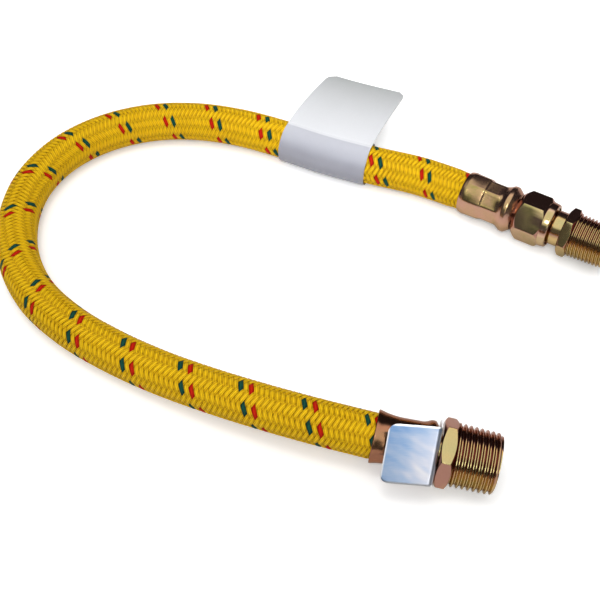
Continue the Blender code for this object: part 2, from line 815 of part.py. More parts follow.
def make_paper_label(parts, mat):
    """The label is drawn flat, pulled to its width, and bent along the hose's middle line."""
    curve = bpy.data.curves.new("paper_label", "CURVE")
    curve.dimensions = "2D"
    curve.fill_mode = "BOTH"
    curve.extrude = LABEL_WIDTH / 2
    for loop in label_outline():
        spline = curve.splines.new("POLY")
        spline.points.add(len(loop) - 1)
        for point, (x, y) in zip(spline.points, loop):
            point.co = (x, y, 0.0, 1.0)
        spline.use_cyclic_u = True
    carrier = bpy.data.objects.new("paper_label", curve)
    parts.objects.link(carrier)
    mesh = evaluated_mesh(carrier)
    bpy.data.objects.remove(carrier, do_unlink=True)

    line = free_line()[::-1]
    run = np.concatenate([[0.0], np.cumsum(np.linalg.norm(np.diff(line, axis=0), axis=1))])
    build = bmesh.new()
    build.from_mesh(mesh)
    for k in range(1, LABEL_BAYS):
        bmesh.ops.bisect_plane(
            build,
            geom=[*build.verts, *build.edges, *build.faces],
            plane_co=(0, 0, LABEL_WIDTH * (k / LABEL_BAYS - 0.5)),
            plane_no=(0, 0, 1),
        )
    for vertex in build.verts:
        x, y, z = vertex.co
        reach = max(0.0, math.hypot(x, y) - HOSE_RADIUS - 2 * LABEL_THICKNESS - GAP)
        spot = LABEL_AT - z - LABEL_SKEW * reach
        way = hose_at(line, run, spot - RUN_STEP / 2) - hose_at(line, run, spot + RUN_STEP / 2)
        back = Vector((-way.y, way.x, 0.0)).normalized()
        up = way.cross(back).normalized()
        vertex.co = hose_at(line, run, spot) + back * x + up * y
    build.to_mesh(mesh)
    build.free()
    mesh.name = "paper_label"
    return new_object("paper_label", mesh, parts, mat)


def build():
    clear_scene()
    parts = new_collection(OBJECT_NAME)
    cutters = new_collection("cutters")
    plating = material("yellow_zinc_plate", (0.52, 0.40, 0.22), 0.30, 1.0)
    braid = material("yellow_textile_braid", (0.86, 0.58, 0.04), 0.65, 0.0)
    rubber = material("black_rubber", (0.03, 0.03, 0.03), 0.80, 0.0)
    bright = material("bright_tin", (0.80, 0.82, 0.85), 0.25, 1.0)
    paper = material("white_paper", (0.86, 0.86, 0.86), 0.60, 0.0)

    near = frame_empty("near_end", NEAR_FRAME, parts)
    far = frame_empty("far_end", FAR_FRAME, parts)

    points, radii = hose_path()
    hollow_tube("braid_cover", points, radii, COVER_BORE_RADIUS, parts, cutters, braid)
    hollow_tube("inner_tube", points, [LINER_RADIUS] * len(points), BORE_RADIUS, parts, cutters, rubber)

    seat(make_near_ferrule(parts, plating), near)
    for piece in make_pipe_nipple(parts, cutters, plating):
        seat(piece, near)
    tag, tag_cutters, stand_off = make_id_tag(parts, cutters, bright)
    tag_hinge = frame_empty("tag_turn", Matrix.Identity(4), parts)
    tag_hinge.parent = near
    tag_hinge.location = (0.0, 0.0, NEAR_FERRULE_LENGTH + TAG_SLOT / 2)
    tag_hinge.rotation_euler = (0.0, 0.0, TAG_FACING)
    lean = frame_empty("tag_lean", Matrix.Identity(4), parts)
    lean.parent = tag_hinge
    lean.rotation_euler = (TAG_LEAN, 0.0, 0.0)
    tag.parent = lean
    tag.location = (stand_off, TAG_DROP, 0.0)
    for cutter in tag_cutters:
        cutter.parent = tag

    for piece in make_far_ferrule(parts, cutters, plating):
        seat(piece, far)
    seat(make_swivel_stem(parts, plating), far)
    for piece in make_swivel_nut(parts, cutters, plating):
        seat(piece, far, NUT_START)
    for piece in make_pipe_adapter(parts, cutters, plating):
        seat(piece, far, NUT_START)
    make_paper_label(parts, paper)
    bpy.context.view_layer.update()


build()
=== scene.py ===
import math

import bmesh
import bpy
import numpy as np
from mathutils import Matrix, Vector


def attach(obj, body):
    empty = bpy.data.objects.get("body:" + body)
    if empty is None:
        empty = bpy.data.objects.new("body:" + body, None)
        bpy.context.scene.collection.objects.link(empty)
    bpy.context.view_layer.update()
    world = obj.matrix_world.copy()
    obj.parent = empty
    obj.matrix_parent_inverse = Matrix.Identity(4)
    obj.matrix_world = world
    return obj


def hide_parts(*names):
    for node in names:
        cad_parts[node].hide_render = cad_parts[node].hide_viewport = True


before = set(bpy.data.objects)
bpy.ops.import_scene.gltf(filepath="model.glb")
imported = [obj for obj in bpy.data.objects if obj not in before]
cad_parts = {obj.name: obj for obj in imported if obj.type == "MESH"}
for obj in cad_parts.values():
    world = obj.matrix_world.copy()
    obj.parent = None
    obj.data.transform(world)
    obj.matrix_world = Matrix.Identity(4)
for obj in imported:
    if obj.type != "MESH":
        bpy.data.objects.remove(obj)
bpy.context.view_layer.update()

TAU = 2 * math.pi

# The hose, in metres
HOSE_RADIUS = 0.00775
CRIMPED_RADIUS = 0.00685
HOSE_END_AT = 0.0168
SQUEEZE_LENGTH = 0.0050
GAP = 0.0003
ROUTE = (
    (-0.0196, 0.0006, 0.01362), (-0.0392, 0.0028, 0.01246), (-0.0586, 0.0060, 0.01067),
    (-0.0778, 0.0101, 0.00891), (-0.0968, 0.0154, 0.00788), (-0.1152, 0.0222, 0.00780),
    (-0.1320, 0.0323, 0.00780), (-0.1450, 0.0469, 0.00780), (-0.1529, 0.0649, 0.00780),
    (-0.1549, 0.0843, 0.00780), (-0.1495, 0.1031, 0.00780), (-0.1375, 0.1186, 0.00780),
    (-0.1209, 0.1290, 0.00821), (-0.1020, 0.1341, 0.00854), (-0.0824, 0.1348, 0.00855),
    (-0.0629, 0.1322, 0.00855), (-0.0436, 0.1284, 0.00855), (-0.0241, 0.1259, 0.00855),
    (-0.0045, 0.1242, 0.00855),
)

# The braid
CARRIERS = 12
STRAND_THICKNESS = 0.00042
HOSE_MILLIMETRES = 427.0
WEAVE_DEPTH = 0.00025
STRAND_SIDES = 6
SAMPLES_PER_WAVE = 9
# Where the red strand crosses the hose's top, in millimetres along the middle line
RED_ON_TOP = (
    -20.8, -0.8, 19.6, 41.6, 64.4, 88.1, 111.6, 133.5, 154.3, 175.4,
    197.1, 219.3, 240.9, 261.2, 281.6, 303.9, 328.6, 352.6, 373.8, 394.0, 415.0,
)
TOP_OF_HOSE = math.radians(88.0)
# How the weave's columns turn along the hose: millimetres along it, degrees
COLUMNS_TURN = (
    (-20.0, 20.0), (45.0, 20.0), (61.0, 17.5), (90.0, 19.0), (134.0, 20.0), (154.0, 31.0),
    (176.0, 46.0), (198.0, 33.5), (221.0, 40.5), (264.0, 41.5), (283.0, 41.5), (304.0, 39.5),
    (325.0, 60.0), (355.0, 60.0), (377.0, 52.0), (415.0, 50.0),
)

# The two ends: a fitting's own X is back, Y is up, Z is out along its axis
NEAR_MOUTH_PLAN = (-0.0366, -0.0560)
NEAR_TILT = math.radians(-3.0)
FAR_MOUTH_PLAN = (-0.0220, 0.0639)
FAR_AZIMUTH = math.radians(-18.5)
FAR_TILT = math.radians(2.0)

NEAR_FERRULE_LENGTH = 0.0201
TAG_SLOT = 0.0014
NECK_RADIUS = 0.0051
NIPPLE_HEX_AT = NEAR_FERRULE_LENGTH + TAG_SLOT
NIPPLE_HEX_FLATS = 0.0206
NIPPLE_HEX_LENGTH = 0.0048
NIPPLE_HEX_TURN = math.radians(16.4)
HALF_INCH_RADIUS = 0.01055
HALF_INCH_PITCH = 0.001814
HALF_INCH_THREADS = 7.5

FAR_FERRULE_LENGTH = 0.0220
NUT_START = 0.0230
NUT_FLATS = 0.0175
NUT_HEX_TURN = math.radians(49.3)
NUT_BACK_RUN = 0.0024
ADAPTER_HEX_AT = 0.0418
ADAPTER_HEX_LENGTH = 0.0040
ADAPTER_FLATS = 0.0170
ADAPTER_HEX_TURN = math.radians(52.1)
THREE_EIGHTHS_RADIUS = 0.00857
THREE_EIGHTHS_PITCH = 0.001411
THREE_EIGHTHS_THREADS = 9.5
COUPLING_RADIUS = 0.00714
PIPE_TAPER = 1 / 32
THREAD_DEPTH = 0.58
STEM_BORE_RADIUS = 0.0030
STEM_START = 0.0015
STEM_RADIUS = 0.0039
BARB_RADIUS = 0.0043
BARB_PITCH = 0.0042
NIPPLE_BORE_RADIUS = 0.0061
NIPPLE_BORE_DEPTH = 0.0160
NUT_WALL = 0.0034
NOSE_TIP_RADIUS = 0.0046
ADAPTER_BORE_RADIUS = 0.0056
ADAPTER_BORE_DEPTH = 0.0140
COLUMNS = 96

TAG_THICKNESS = 0.0005
TAG_LENGTH = 0.0165
TAG_WIDTH = 0.0195
TAG_CORNER = 0.0028
TAG_FLANGE_CORNER = 0.0070
TAG_BEND_RADIUS = 0.0010
TAG_FLANGE_DEPTH = 0.0173
TAG_DROP = -0.0005
TAG_SHEAR = 0.118
TAG_FACING = math.radians(134.0)
TAG_LEAN = math.radians(2.2)
TAG_STAND_OFF = 0.0103

LABEL_THICKNESS = 0.00035
LABEL_WIDTH = 0.0365
LABEL_FLAP = 0.0275
LABEL_AT = 0.0590
LABEL_ROOT = math.radians(80.0)
LABEL_HEADING = math.radians(30.0)
LABEL_CURL = math.radians(26.0)
LABEL_SKEW = 0.31
LABEL_CORNER = 0.0030


# Frames and lines

def hex_corner(flats):
    return flats / 2 / math.cos(math.pi / 6)


def lowest_of_hex(flats, turn):
    return max(-hex_corner(flats) * math.sin(turn + math.radians(60 * k)) for k in range(6))


def fitting_frame(plan, azimuth, tilt, rest_at, rest_depth):
    """The frame at a ferrule's mouth: its axis passes rest_depth over the floor at rest_at along it."""
    axis = Vector((
        math.cos(azimuth) * math.cos(tilt),
        math.sin(azimuth) * math.cos(tilt),
        math.sin(tilt),
    ))
    back = Vector((-math.sin(azimuth), math.cos(azimuth), 0.0))
    matrix = Matrix((back, axis.cross(back), axis)).transposed().to_4x4()
    matrix.translation = Vector((*plan, rest_depth * math.cos(tilt) - rest_at * math.sin(tilt)))
    return matrix


NEAR = fitting_frame(
    NEAR_MOUTH_PLAN, 0.0, NEAR_TILT,
    NIPPLE_HEX_AT + NIPPLE_HEX_LENGTH, lowest_of_hex(NIPPLE_HEX_FLATS, NIPPLE_HEX_TURN),
)
FAR = fitting_frame(
    FAR_MOUTH_PLAN, FAR_AZIMUTH, FAR_TILT,
    NUT_START + NUT_BACK_RUN, lowest_of_hex(NUT_FLATS, NUT_HEX_TURN),
)


def smooth_line(points, samples):
    """A smooth line through the points."""
    pts = np.array(points, float)
    pts = np.vstack([2 * pts[0] - pts[1], pts, 2 * pts[-1] - pts[-2]])
    line = []
    for i in range(1, len(pts) - 2):
        a, b, c, d = pts[i - 1:i + 3]
        for t in np.linspace(0, 1, samples, endpoint=False):
            line.append(
                0.5 * (2 * b + (c - a) * t + (2 * a - 5 * b + 4 * c - d) * t**2
                       + (3 * b - a - 3 * c + d) * t**3)
            )
    line.append(pts[-2])
    return np.array(line)


def length_along(line):
    return np.concatenate([[0.0], np.cumsum(np.linalg.norm(np.diff(line, axis=0), axis=1))])


def out_of(matrix, distance):
    """The point on a fitting's axis that far out from its ferrule's mouth."""
    return np.array(matrix @ Vector((0.0, 0.0, distance)))


def hose_line():
    """The hose's middle line between the two mouths."""
    start = out_of(NEAR, 0.0)
    end = out_of(FAR, 0.0)
    middle = [(start[0] + x, start[1] + y, z) for x, y, z in ROUTE]
    return smooth_line([start, *middle, end], 16)


FREE_LINE = hose_line()
FREE_RUN = length_along(FREE_LINE)
FREE_LENGTH = float(FREE_RUN[-1])


# Camera, first of all

camera_data = bpy.data.cameras.new("camera")
camera_data.lens = 60.0
camera_data.sensor_width = 36.0
camera_data.clip_start = 0.01
camera = bpy.data.objects.new("camera", camera_data)
camera.location = (NEAR_MOUTH_PLAN[0] + 0.01399, NEAR_MOUTH_PLAN[1] - 0.16363, 0.29946)
camera.rotation_euler = (math.radians(37.29), 0.0, math.radians(13.31))
bpy.context.scene.collection.objects.link(camera)
bpy.context.scene.camera = camera
bpy.context.scene.view_settings.view_transform = "Standard"


# Node trees, written as sums and products

def math_node(tree, operation, *values):
    node = tree.nodes.new("ShaderNodeMath")
    node.operation = operation
    for at, value in enumerate(values):
        plug(tree, value, node.inputs[at])
    return Value(tree, node.outputs[0])


class Value:
    """A socket that can be added to, multiplied and so on, each time through a Math node."""

    def __init__(self, tree, socket):
        self.tree = tree
        self.socket = socket

    def math(self, operation, *others):
        return math_node(self.tree, operation, self, *others)

    def __neg__(self):
        return self.math("MULTIPLY", -1.0)


def forwards(operation):
    return lambda self, other: math_node(self.tree, operation, self, other)


def backwards(operation):
    return lambda self, other: math_node(self.tree, operation, other, self)


for sign, operation in (("add", "ADD"), ("sub", "SUBTRACT"), ("mul", "MULTIPLY"), ("truediv", "DIVIDE")):
    setattr(Value, f"__{sign}__", forwards(operation))
    setattr(Value, f"__r{sign}__", backwards(operation))


class Arrow(Value):
    """A vector socket, with Vector Math nodes in place of Math ones."""

    def vector(self, operation, *others):
        node = self.tree.nodes.new("ShaderNodeVectorMath")
        node.operation = operation
        for at, value in enumerate((self, *others)):
            place = "Scale" if operation == "SCALE" and at == 1 else at
            plug(self.tree, value, node.inputs[place])
        return Arrow(self.tree, node.outputs[0])

    def __add__(self, other):
        return self.vector("ADD", other)

    def __sub__(self, other):
        return self.vector("SUBTRACT", other)

    def __mul__(self, other):
        return self.vector("SCALE", other)

    def cross(self, other):
        return self.vector("CROSS_PRODUCT", other)

    def unit(self):
        return self.vector("NORMALIZE")


def plug(tree, value, place):
    """Links a socket, or sets a plain number or colour, on one input."""
    if isinstance(value, Value):
        tree.links.new(value.socket, place)
    elif isinstance(value, bpy.types.NodeSocket):
        tree.links.new(value, place)
    elif place.type == "RGBA":
        place.default_value = (*value, 1.0)
    else:
        place.default_value = value


def fill(tree, node, links):
    for name, value in links.items():
        plug(tree, value, node.inputs[name])


def add_node(tree, kind, links=None, **settings):
    node = tree.nodes.new(kind)
    for name, value in settings.items():
        setattr(node, name, value)
    fill(tree, node, links or {})
    return node


def vector_of(tree, x, y, z=0.0):
    return add_node(tree, "ShaderNodeCombineXYZ", {"X": x, "Y": y, "Z": z}).outputs[0]


def new_tree(name, kind, inputs, outputs):
    """A node group with named sockets, and its input and output nodes."""
    tree = bpy.data.node_groups.new(name, kind)
    for direction, sockets in (("INPUT", inputs), ("OUTPUT", outputs)):
        for socket, socket_kind in sockets:
            tree.interface.new_socket(socket, in_out=direction, socket_type=socket_kind)
    return tree, tree.nodes.new("NodeGroupInput"), tree.nodes.new("NodeGroupOutput")


NUMBER = "NodeSocketFloat"
WHOLE = "NodeSocketInt"
GEOMETRY = "NodeSocketGeometry"
COLOUR = "NodeSocketColor"


def named(tree, group_input, name):
    return Value(tree, group_input.outputs[name])


def evaluated_mesh(obj):
    bpy.context.view_layer.update()
    return bpy.data.meshes.new_from_object(obj.evaluated_get(bpy.context.evaluated_depsgraph_get()))


def run_tree(host, tree, **values):
    """Runs a Geometry Nodes tree on a host object, and gives the result as a plain mesh."""
    modifier = host.modifiers.new(tree.name, "NODES")
    modifier.node_group = tree
    identifiers = {
        item.name: item.identifier
        for item in tree.interface.items_tree
        if item.item_type == "SOCKET" and item.in_out == "INPUT"
    }
    for name, value in values.items():
        modifier[identifiers[name.replace("_", " ").capitalize()]] = value
    mesh = evaluated_mesh(host)
    host.modifiers.remove(modifier)
    return mesh


def store(tree, geometry, name, value, kind="FLOAT", domain="POINT"):
    links = {"Geometry": geometry, "Name": name, "Value": value}
    node = add_node(tree, "GeometryNodeStoreNamedAttribute", links, data_type=kind, domain=domain)
    return node.outputs[0]


def grid_of(tree, across, down):
    """A flat grid, with the share 0 to 1 along it and the row number across it."""
    size = {"Size X": 1.0, "Size Y": 1.0, "Vertices X": across, "Vertices Y": down}
    grid = add_node(tree, "GeometryNodeMeshGrid", size)
    position = add_node(tree, "GeometryNodeInputPosition").outputs[0]
    spot = add_node(tree, "ShaderNodeSeparateXYZ", {"Vector": position})
    share = Value(tree, spot.outputs["X"]) + 0.5
    row = (Value(tree, spot.outputs["Y"]) + 0.5) * (down - 1.0)
    return grid.outputs["Mesh"], share, row


def finish_tree(tree, geometry, place, given, result):
    """Moves the points, welds the seams, then Realize Instances and Set Material."""
    moved = add_node(tree, "GeometryNodeSetPosition", {"Geometry": geometry, "Position": place})
    links = {"Geometry": moved.outputs[0], "Distance": 1e-6}
    welded = add_node(tree, "GeometryNodeMergeByDistance", links)
    real = add_node(tree, "GeometryNodeRealizeInstances", {"Geometry": welded.outputs[0]})
    smooth = add_node(tree, "GeometryNodeSetShadeSmooth", {"Geometry": real.outputs[0]})
    links = {"Geometry": smooth.outputs[0], "Material": given.outputs["Material"]}
    tree.links.new(add_node(tree, "GeometryNodeSetMaterial", links).outputs[0], result.inputs[0])
    return tree


def braid_tree():
    """Flat strands wound round a line, two over and two under. Hand is 1 for right-hand strands and -1
    for left-hand ones."""
    tree, given, result = new_tree(
        "braid_strands",
        "GeometryNodeTree",
        [
            ("Geometry", GEOMETRY), ("Carriers", WHOLE), ("Samples", WHOLE), ("Sides", WHOLE),
            ("Hand", NUMBER), ("Top", NUMBER), ("Thickness", NUMBER), ("Depth", NUMBER),
            ("Material", "NodeSocketMaterial"),
        ],
        [("Geometry", GEOMETRY)],
    )
    line = add_node(tree, "GeometryNodeMeshToCurve", {"Mesh": given.outputs["Geometry"]}).outputs["Curve"]
    carriers, sides, hand, top, thickness, depth = (
        named(tree, given, name) for name in ("Carriers", "Sides", "Hand", "Top", "Thickness", "Depth")
    )
    rows = carriers * (sides + 1.0)
    grid, share, row = grid_of(tree, named(tree, given, "Samples"), rows)

    # Each strand has sides + 1 rows, and the faces between one strand's last row and the next one's first go
    gaps = row.math("FLOORED_MODULO", sides + 1.0).math("GREATER_THAN", sides)
    links = {"Geometry": grid, "Selection": gaps}
    strips = add_node(tree, "GeometryNodeDeleteGeometry", links, domain="FACE").outputs[0]

    row = row.math("ROUND")
    strand = (row / (sides + 1.0)).math("FLOOR")
    corner = row - strand * (sides + 1.0)

    def sampled(name):
        stored = add_node(tree, "GeometryNodeInputNamedAttribute", {"Name": name}, data_type="FLOAT")
        links = {"Curves": line, "Factor": share, "Value": stored.outputs["Attribute"]}
        kinds = {"mode": "FACTOR", "data_type": "FLOAT", "use_all_curves": True}
        return add_node(tree, "GeometryNodeSampleCurve", links, **kinds)

    turn_node = sampled("turn")
    turn = Value(tree, turn_node.outputs["Value"])
    middle = Arrow(tree, turn_node.outputs["Position"])
    ahead = Arrow(tree, turn_node.outputs["Tangent"]).unit()
    columns = Value(tree, sampled("columns").outputs["Value"])
    radius = Value(tree, sampled("radius").outputs["Value"])
    lay = Value(tree, sampled("lay").outputs["Value"])

    side = ahead.cross((0.0, 0.0, 1.0)).unit()
    up = side.cross(ahead)

    start = top * hand + (1.0 - hand) * (columns + TAU / 4.0 / carriers)
    angle = start - hand * turn * TAU + strand * TAU / carriers
    out = side * angle.math("COSINE") + up * angle.math("SINE")
    round_it = up * angle.math("COSINE") + side * (-angle.math("SINE"))
    mean_radius = radius - depth - thickness / 2.0
    rise = mean_radius * TAU / lay
    along = (ahead + round_it * (-hand * rise)).unit()
    across = out.cross(along)
    slope = (rise * rise + 1.0).math("SQRT")
    half_width = lay / carriers * rise / slope / 2.0

    phase = -corner * TAU / sides
    flat = phase.math("COSINE").math("ABSOLUTE").math("POWER", 0.45) * phase.math("COSINE").math("SIGN")
    sideways = flat * half_width

    # A strand goes under along the edge of the one that crosses it, so its lift changes across its width too
    met_at = angle + sideways * (1.0 - rise * rise) / (slope * mean_radius * 2.0)
    lean = ((met_at - columns) * carriers / 2.0).math("COSINE")
    lift = hand * (lean * 2.6).math("TANH")
    outwards = phase.math("SINE") * (thickness / 2.0 / math.sin(math.pi / 3))
    place = middle + out * (mean_radius + lift * depth + outwards) + across * sideways

    red = strand.math("COMPARE", 0.0, 0.5)
    green = strand.math("COMPARE", 2.0, 0.5)
    for name, value in (
        ("tracer", (red + green * 2.0) * hand.math("GREATER_THAN", 0.0)),
        ("strand", strand + 0.5 * (1.0 - hand) * carriers),
        ("lift", lift),
        ("across", phase.math("COSINE")),
        ("along", share * HOSE_MILLIMETRES),
    ):
        strips = store(tree, strips, name, value)

    # A map for baking: every strand is cut into lengths, and each length has a strip of its own
    lengths = 8.0

    def on_face(value):
        kinds = {"domain": "FACE", "data_type": "FLOAT"}
        return Value(tree, add_node(tree, "GeometryNodeFieldOnDomain", {"Value": value}, **kinds).outputs[0])

    piece = (on_face(share) * lengths).math("FLOOR")
    face_strand = (on_face(row) / (sides + 1.0)).math("FLOOR")
    strip = face_strand * lengths + piece
    map_x = (strip + 0.06 + 0.88 * corner / sides) / (carriers * lengths)
    map_y = (share * lengths - piece) * 0.998 + 0.001
    strips = store(tree, strips, "OFBake", vector_of(tree, map_x, map_y), "FLOAT2", "CORNER")

    return finish_tree(tree, strips, place, given, result)


def thread_tree():
    """A tapered pipe thread about Z, from 0 up to its length, cut as one screw surface."""
    tree, given, result = new_tree(
        "pipe_thread",
        "GeometryNodeTree",
        [
            ("Geometry", GEOMETRY), ("Columns", WHOLE), ("Pitch", NUMBER), ("Length", NUMBER),
            ("Radius", NUMBER), ("Taper", NUMBER), ("Depth", NUMBER), ("End radius", NUMBER),
            ("Material", "NodeSocketMaterial"),
        ],
        [("Geometry", GEOMETRY)],
    )
    pitch, length, depth = (named(tree, given, name) for name in ("Pitch", "Length", "Depth"))
    steps = 8.0
    rows = ((length / pitch).math("CEIL") + 3.0) * steps + 1.0
    grid, share, row = grid_of(tree, named(tree, given, "Columns") + 1.0, rows)
    row = row.math("ROUND")
    angle = share * TAU
    height = pitch * (row / steps + share - 2.0)
    held = height.math("MAXIMUM", 0.0).math("MINIMUM", length)
    inside = height.math("COMPARE", held, 1e-7)

    phase = (row / steps).math("FRACT")
    from_crest = ((phase - 1.0 / 16.0 + 0.5).math("FLOORED_MODULO", 1.0) - 0.5).math("ABSOLUTE")
    ridge = ((7.0 / 16.0 - from_crest) * (16.0 / 6.0)).math("MAXIMUM", 0.0).math("MINIMUM", 1.0)
    ridge = ridge * ridge * (3.0 - ridge * 2.0)
    root = named(tree, given, "Radius") - named(tree, given, "Taper") * held - depth
    chamfer = named(tree, given, "End radius") + (length - held)
    cut = root + depth * ridge * inside
    radius = cut.math("MINIMUM", chamfer)
    place = vector_of(tree, radius * angle.math("COSINE"), radius * angle.math("SINE"), held)
    return finish_tree(tree, grid, place, given, result)


# Materials

# The direction that a face points where the plating's colour turns all the way to olive: painted light and
# reflection, with faces towards it olive and faces turned away rose
PAINTED_OLIVE_FACING = (0.0, -0.55, 0.835)


def new_material(name):
    material = bpy.data.materials.new(name)
    material.use_nodes = True
    tree = material.node_tree
    return material, tree, tree.nodes["Principled BSDF"]


def noise(tree, scale, detail, roughness, vector):
    node = add_node(tree, "ShaderNodeTexNoise", {"Scale": scale, "Detail": detail, "Roughness": roughness})
    plug(tree, vector, node.inputs["Vector"])
    return Value(tree, node.outputs["Fac"])


def object_place(tree):
    return add_node(tree, "ShaderNodeTexCoord").outputs["Object"]


def bumped(tree, strength, distance, height):
    links = {"Strength": strength, "Distance": distance, "Height": height}
    return add_node(tree, "ShaderNodeBump", links).outputs[0]


def mixed(tree, share, a, b, blend="MIX"):
    """A blend of two colours."""
    node = add_node(tree, "ShaderNodeMix", data_type="RGBA", blend_type=blend)
    plug(tree, share, node.inputs[0])
    plug(tree, a, node.inputs[6])
    plug(tree, b, node.inputs[7])
    return node.outputs[2]


def ramp(tree, share, stops):
    """A colour ramp with (place, colour) stops."""
    node = add_node(tree, "ShaderNodeValToRGB", {"Fac": share})
    elements = node.color_ramp.elements
    while len(elements) < len(stops):
        elements.new(0.5)
    for element, (place, colour) in zip(elements, stops):
        element.position = place
        element.color = (*colour, 1.0)
    return node.outputs["Color"]


def between(tree, value, low, high):
    """0 at low and below, 1 at high and above."""
    node = add_node(tree, "ShaderNodeMapRange", {"Value": value, "From Min": low, "From Max": high})
    return Value(tree, node.outputs[0])


def film_group():
    """The colour film of yellow chromate on zinc, rose, gold and olive, with clouds of hue, fine mottle and
    small scratches in it. Which of the three a face shows is painted light and reflection, read from the
    piece's own attribute for which way the face points."""
    tree, given, result = new_tree(
        "chromate_film",
        "ShaderNodeTree",
        [
            ("Rose", COLOUR), ("Gold", COLOUR), ("Olive", COLOUR), ("Cloud size", NUMBER),
            ("Clouds", NUMBER), ("Roughness", NUMBER),
        ],
        [("Colour", COLOUR), ("Roughness", NUMBER), ("Normal", "NodeSocketVector")],
    )
    place = object_place(tree)
    cloud = noise(tree, named(tree, given, "Cloud size"), 3.0, 0.6, place) - 0.5
    # Painted light and reflection: the film colour follows which way each face points, with the real clouds
    # of hue on top
    spread = attribute(tree, "painted_light_side") + cloud * named(tree, given, "Clouds")
    to_gold = between(tree, spread, 0.05, 0.55)
    to_olive = between(tree, spread, 0.60, 1.20)
    film = mixed(tree, to_gold, given.outputs["Rose"], given.outputs["Gold"])
    film = mixed(tree, to_olive, film, given.outputs["Olive"])
    mottle = noise(tree, 2600.0, 2.0, 0.6, place)
    film = mixed(tree, (mottle - 0.5) * 0.35 + 0.08, film, (0.16, 0.10, 0.05))
    rough = named(tree, given, "Roughness") + (noise(tree, 700.0, 3.0, 0.6, place) - 0.5) * 0.16
    turning = noise(tree, 1900.0, 3.0, 0.7, place)
    normal = bumped(tree, 0.5, 0.00002, turning)
    fill(tree, result, {"Colour": film, "Roughness": rough, "Normal": normal})
    return tree


def plating(name, rose, gilt, olive, cloud_size, clouds, rough):
    material, tree, shader = new_material(name)
    film = add_node(tree, "ShaderNodeGroup", node_tree=FILM)
    fill(tree, film, {
        "Rose": rose, "Gold": gilt, "Olive": olive,
        "Cloud size": cloud_size, "Clouds": clouds, "Roughness": rough,
    })
    fill(tree, shader, {
        "Base Color": film.outputs["Colour"],
        "Roughness": film.outputs["Roughness"],
        "Normal": film.outputs["Normal"],
        "Metallic": 1.0,
        "Specular Tint": (0.72, 0.62, 0.58),
    })
    return material


def attribute(tree, name):
    node = add_node(tree, "ShaderNodeAttribute", attribute_name=name, attribute_type="GEOMETRY")
    return Value(tree, node.outputs["Fac"])


def yarn_material():
    """Textile strands of three yarns each: yellow, with one red and one green strand, and painted shade in
    the grooves between yarns and where a strand dips under another.
    """
    material, tree, shader = new_material("braid_yarn")
    tracer = attribute(tree, "tracer")
    strand = attribute(tree, "strand")
    lift = attribute(tree, "lift")
    across = attribute(tree, "across")
    along = attribute(tree, "along")
    varied = (strand * 12.9898).math("SINE") * 0.5 + 0.5
    streak = noise(tree, 3.0, 3.0, 0.6, vector_of(tree, along, across * 0.9, strand * 3.0))
    yellow = mixed(tree, streak, (0.84, 0.46, 0.005), (1.0, 0.69, 0.014))
    yellow = mixed(tree, varied * 0.35, yellow, (0.86, 0.50, 0.010))
    red = (0.60, 0.018, 0.004)
    green = mixed(tree, streak, (0.004, 0.040, 0.024), (0.016, 0.12, 0.09))
    colour = mixed(tree, tracer.math("COMPARE", 1.0, 0.4), yellow, red)
    colour = mixed(tree, tracer.math("COMPARE", 2.0, 0.4), colour, green)
    yarns = (across * (1.5 * math.pi)).math("COSINE").math("ABSOLUTE")
    # Painted shade: darker in the grooves between the yarns and where the strand dips under the one crossing
    # it
    dip_shade = (1.0 - lift) * 0.5
    painted_groove_shade = (1.0 - yarns) * 0.50 + dip_shade * 0.85
    colour = mixed(tree, painted_groove_shade, colour, mixed(tree, 1.0, colour, (0.27, 0.17, 0.09), "MULTIPLY"))
    fibres = vector_of(tree, along * 0.6 + across * 1.2, across * 6.0, strand * 3.0)
    height = yarns * 0.7 + noise(tree, 4.0, 2.0, 0.6, fibres) * 0.6
    fill(tree, shader, {
        "Base Color": colour,
        "Roughness": 0.60,
        "Specular IOR Level": 0.08,
        "Normal": bumped(tree, 0.7, 0.00018, height),
    })
    return material


def brushed_material():
    """Bright sheet metal, brushed along the tag, with a painted reflection from blue at its free end to
    white, and a painted white highlight at its rims.
    """
    material, tree, shader = new_material("brushed_tag_metal")
    along = attribute(tree, "tag_along")
    across = attribute(tree, "tag_across")
    brush = noise(tree, 1.6, 4.0, 0.6, vector_of(tree, along * 0.12, across * 3.0))
    # Painted reflection: large clouds and a gradient from blue at the free end to white towards the bend
    reflection_cloud = noise(tree, 1.3, 1.0, 0.5, vector_of(tree, along * 0.10, across * 0.22 - along * 0.10))
    painted_reflection = along * 0.034 + across * 0.014 + 0.14 + (reflection_cloud - 0.5) * 0.9
    colour = ramp(tree, painted_reflection, [
        (0.0, (0.20, 0.35, 0.61)), (0.35, (0.36, 0.47, 0.65)),
        (0.70, (0.60, 0.62, 0.70)), (1.0, (0.80, 0.78, 0.77)),
    ])
    colour = mixed(tree, (brush - 0.5) * 0.8, colour, (0.85, 0.86, 0.88))
    # Painted highlight: a white band along the rims and the free end
    rim_highlight = between(tree, across.math("ABSOLUTE"), TAG_WIDTH * 500 - 0.7, TAG_WIDTH * 500 - 0.3)
    rim_highlight = rim_highlight.math("MAXIMUM", between(tree, along, 0.6, 0.25))
    colour = mixed(tree, rim_highlight, colour, (0.92, 0.92, 0.94))
    fill(tree, shader, {
        "Base Color": colour,
        "Metallic": 1.0,
        "Roughness": 0.24 + brush * 0.12,
        "Normal": bumped(tree, 0.25, 0.000006, brush),
    })
    return material


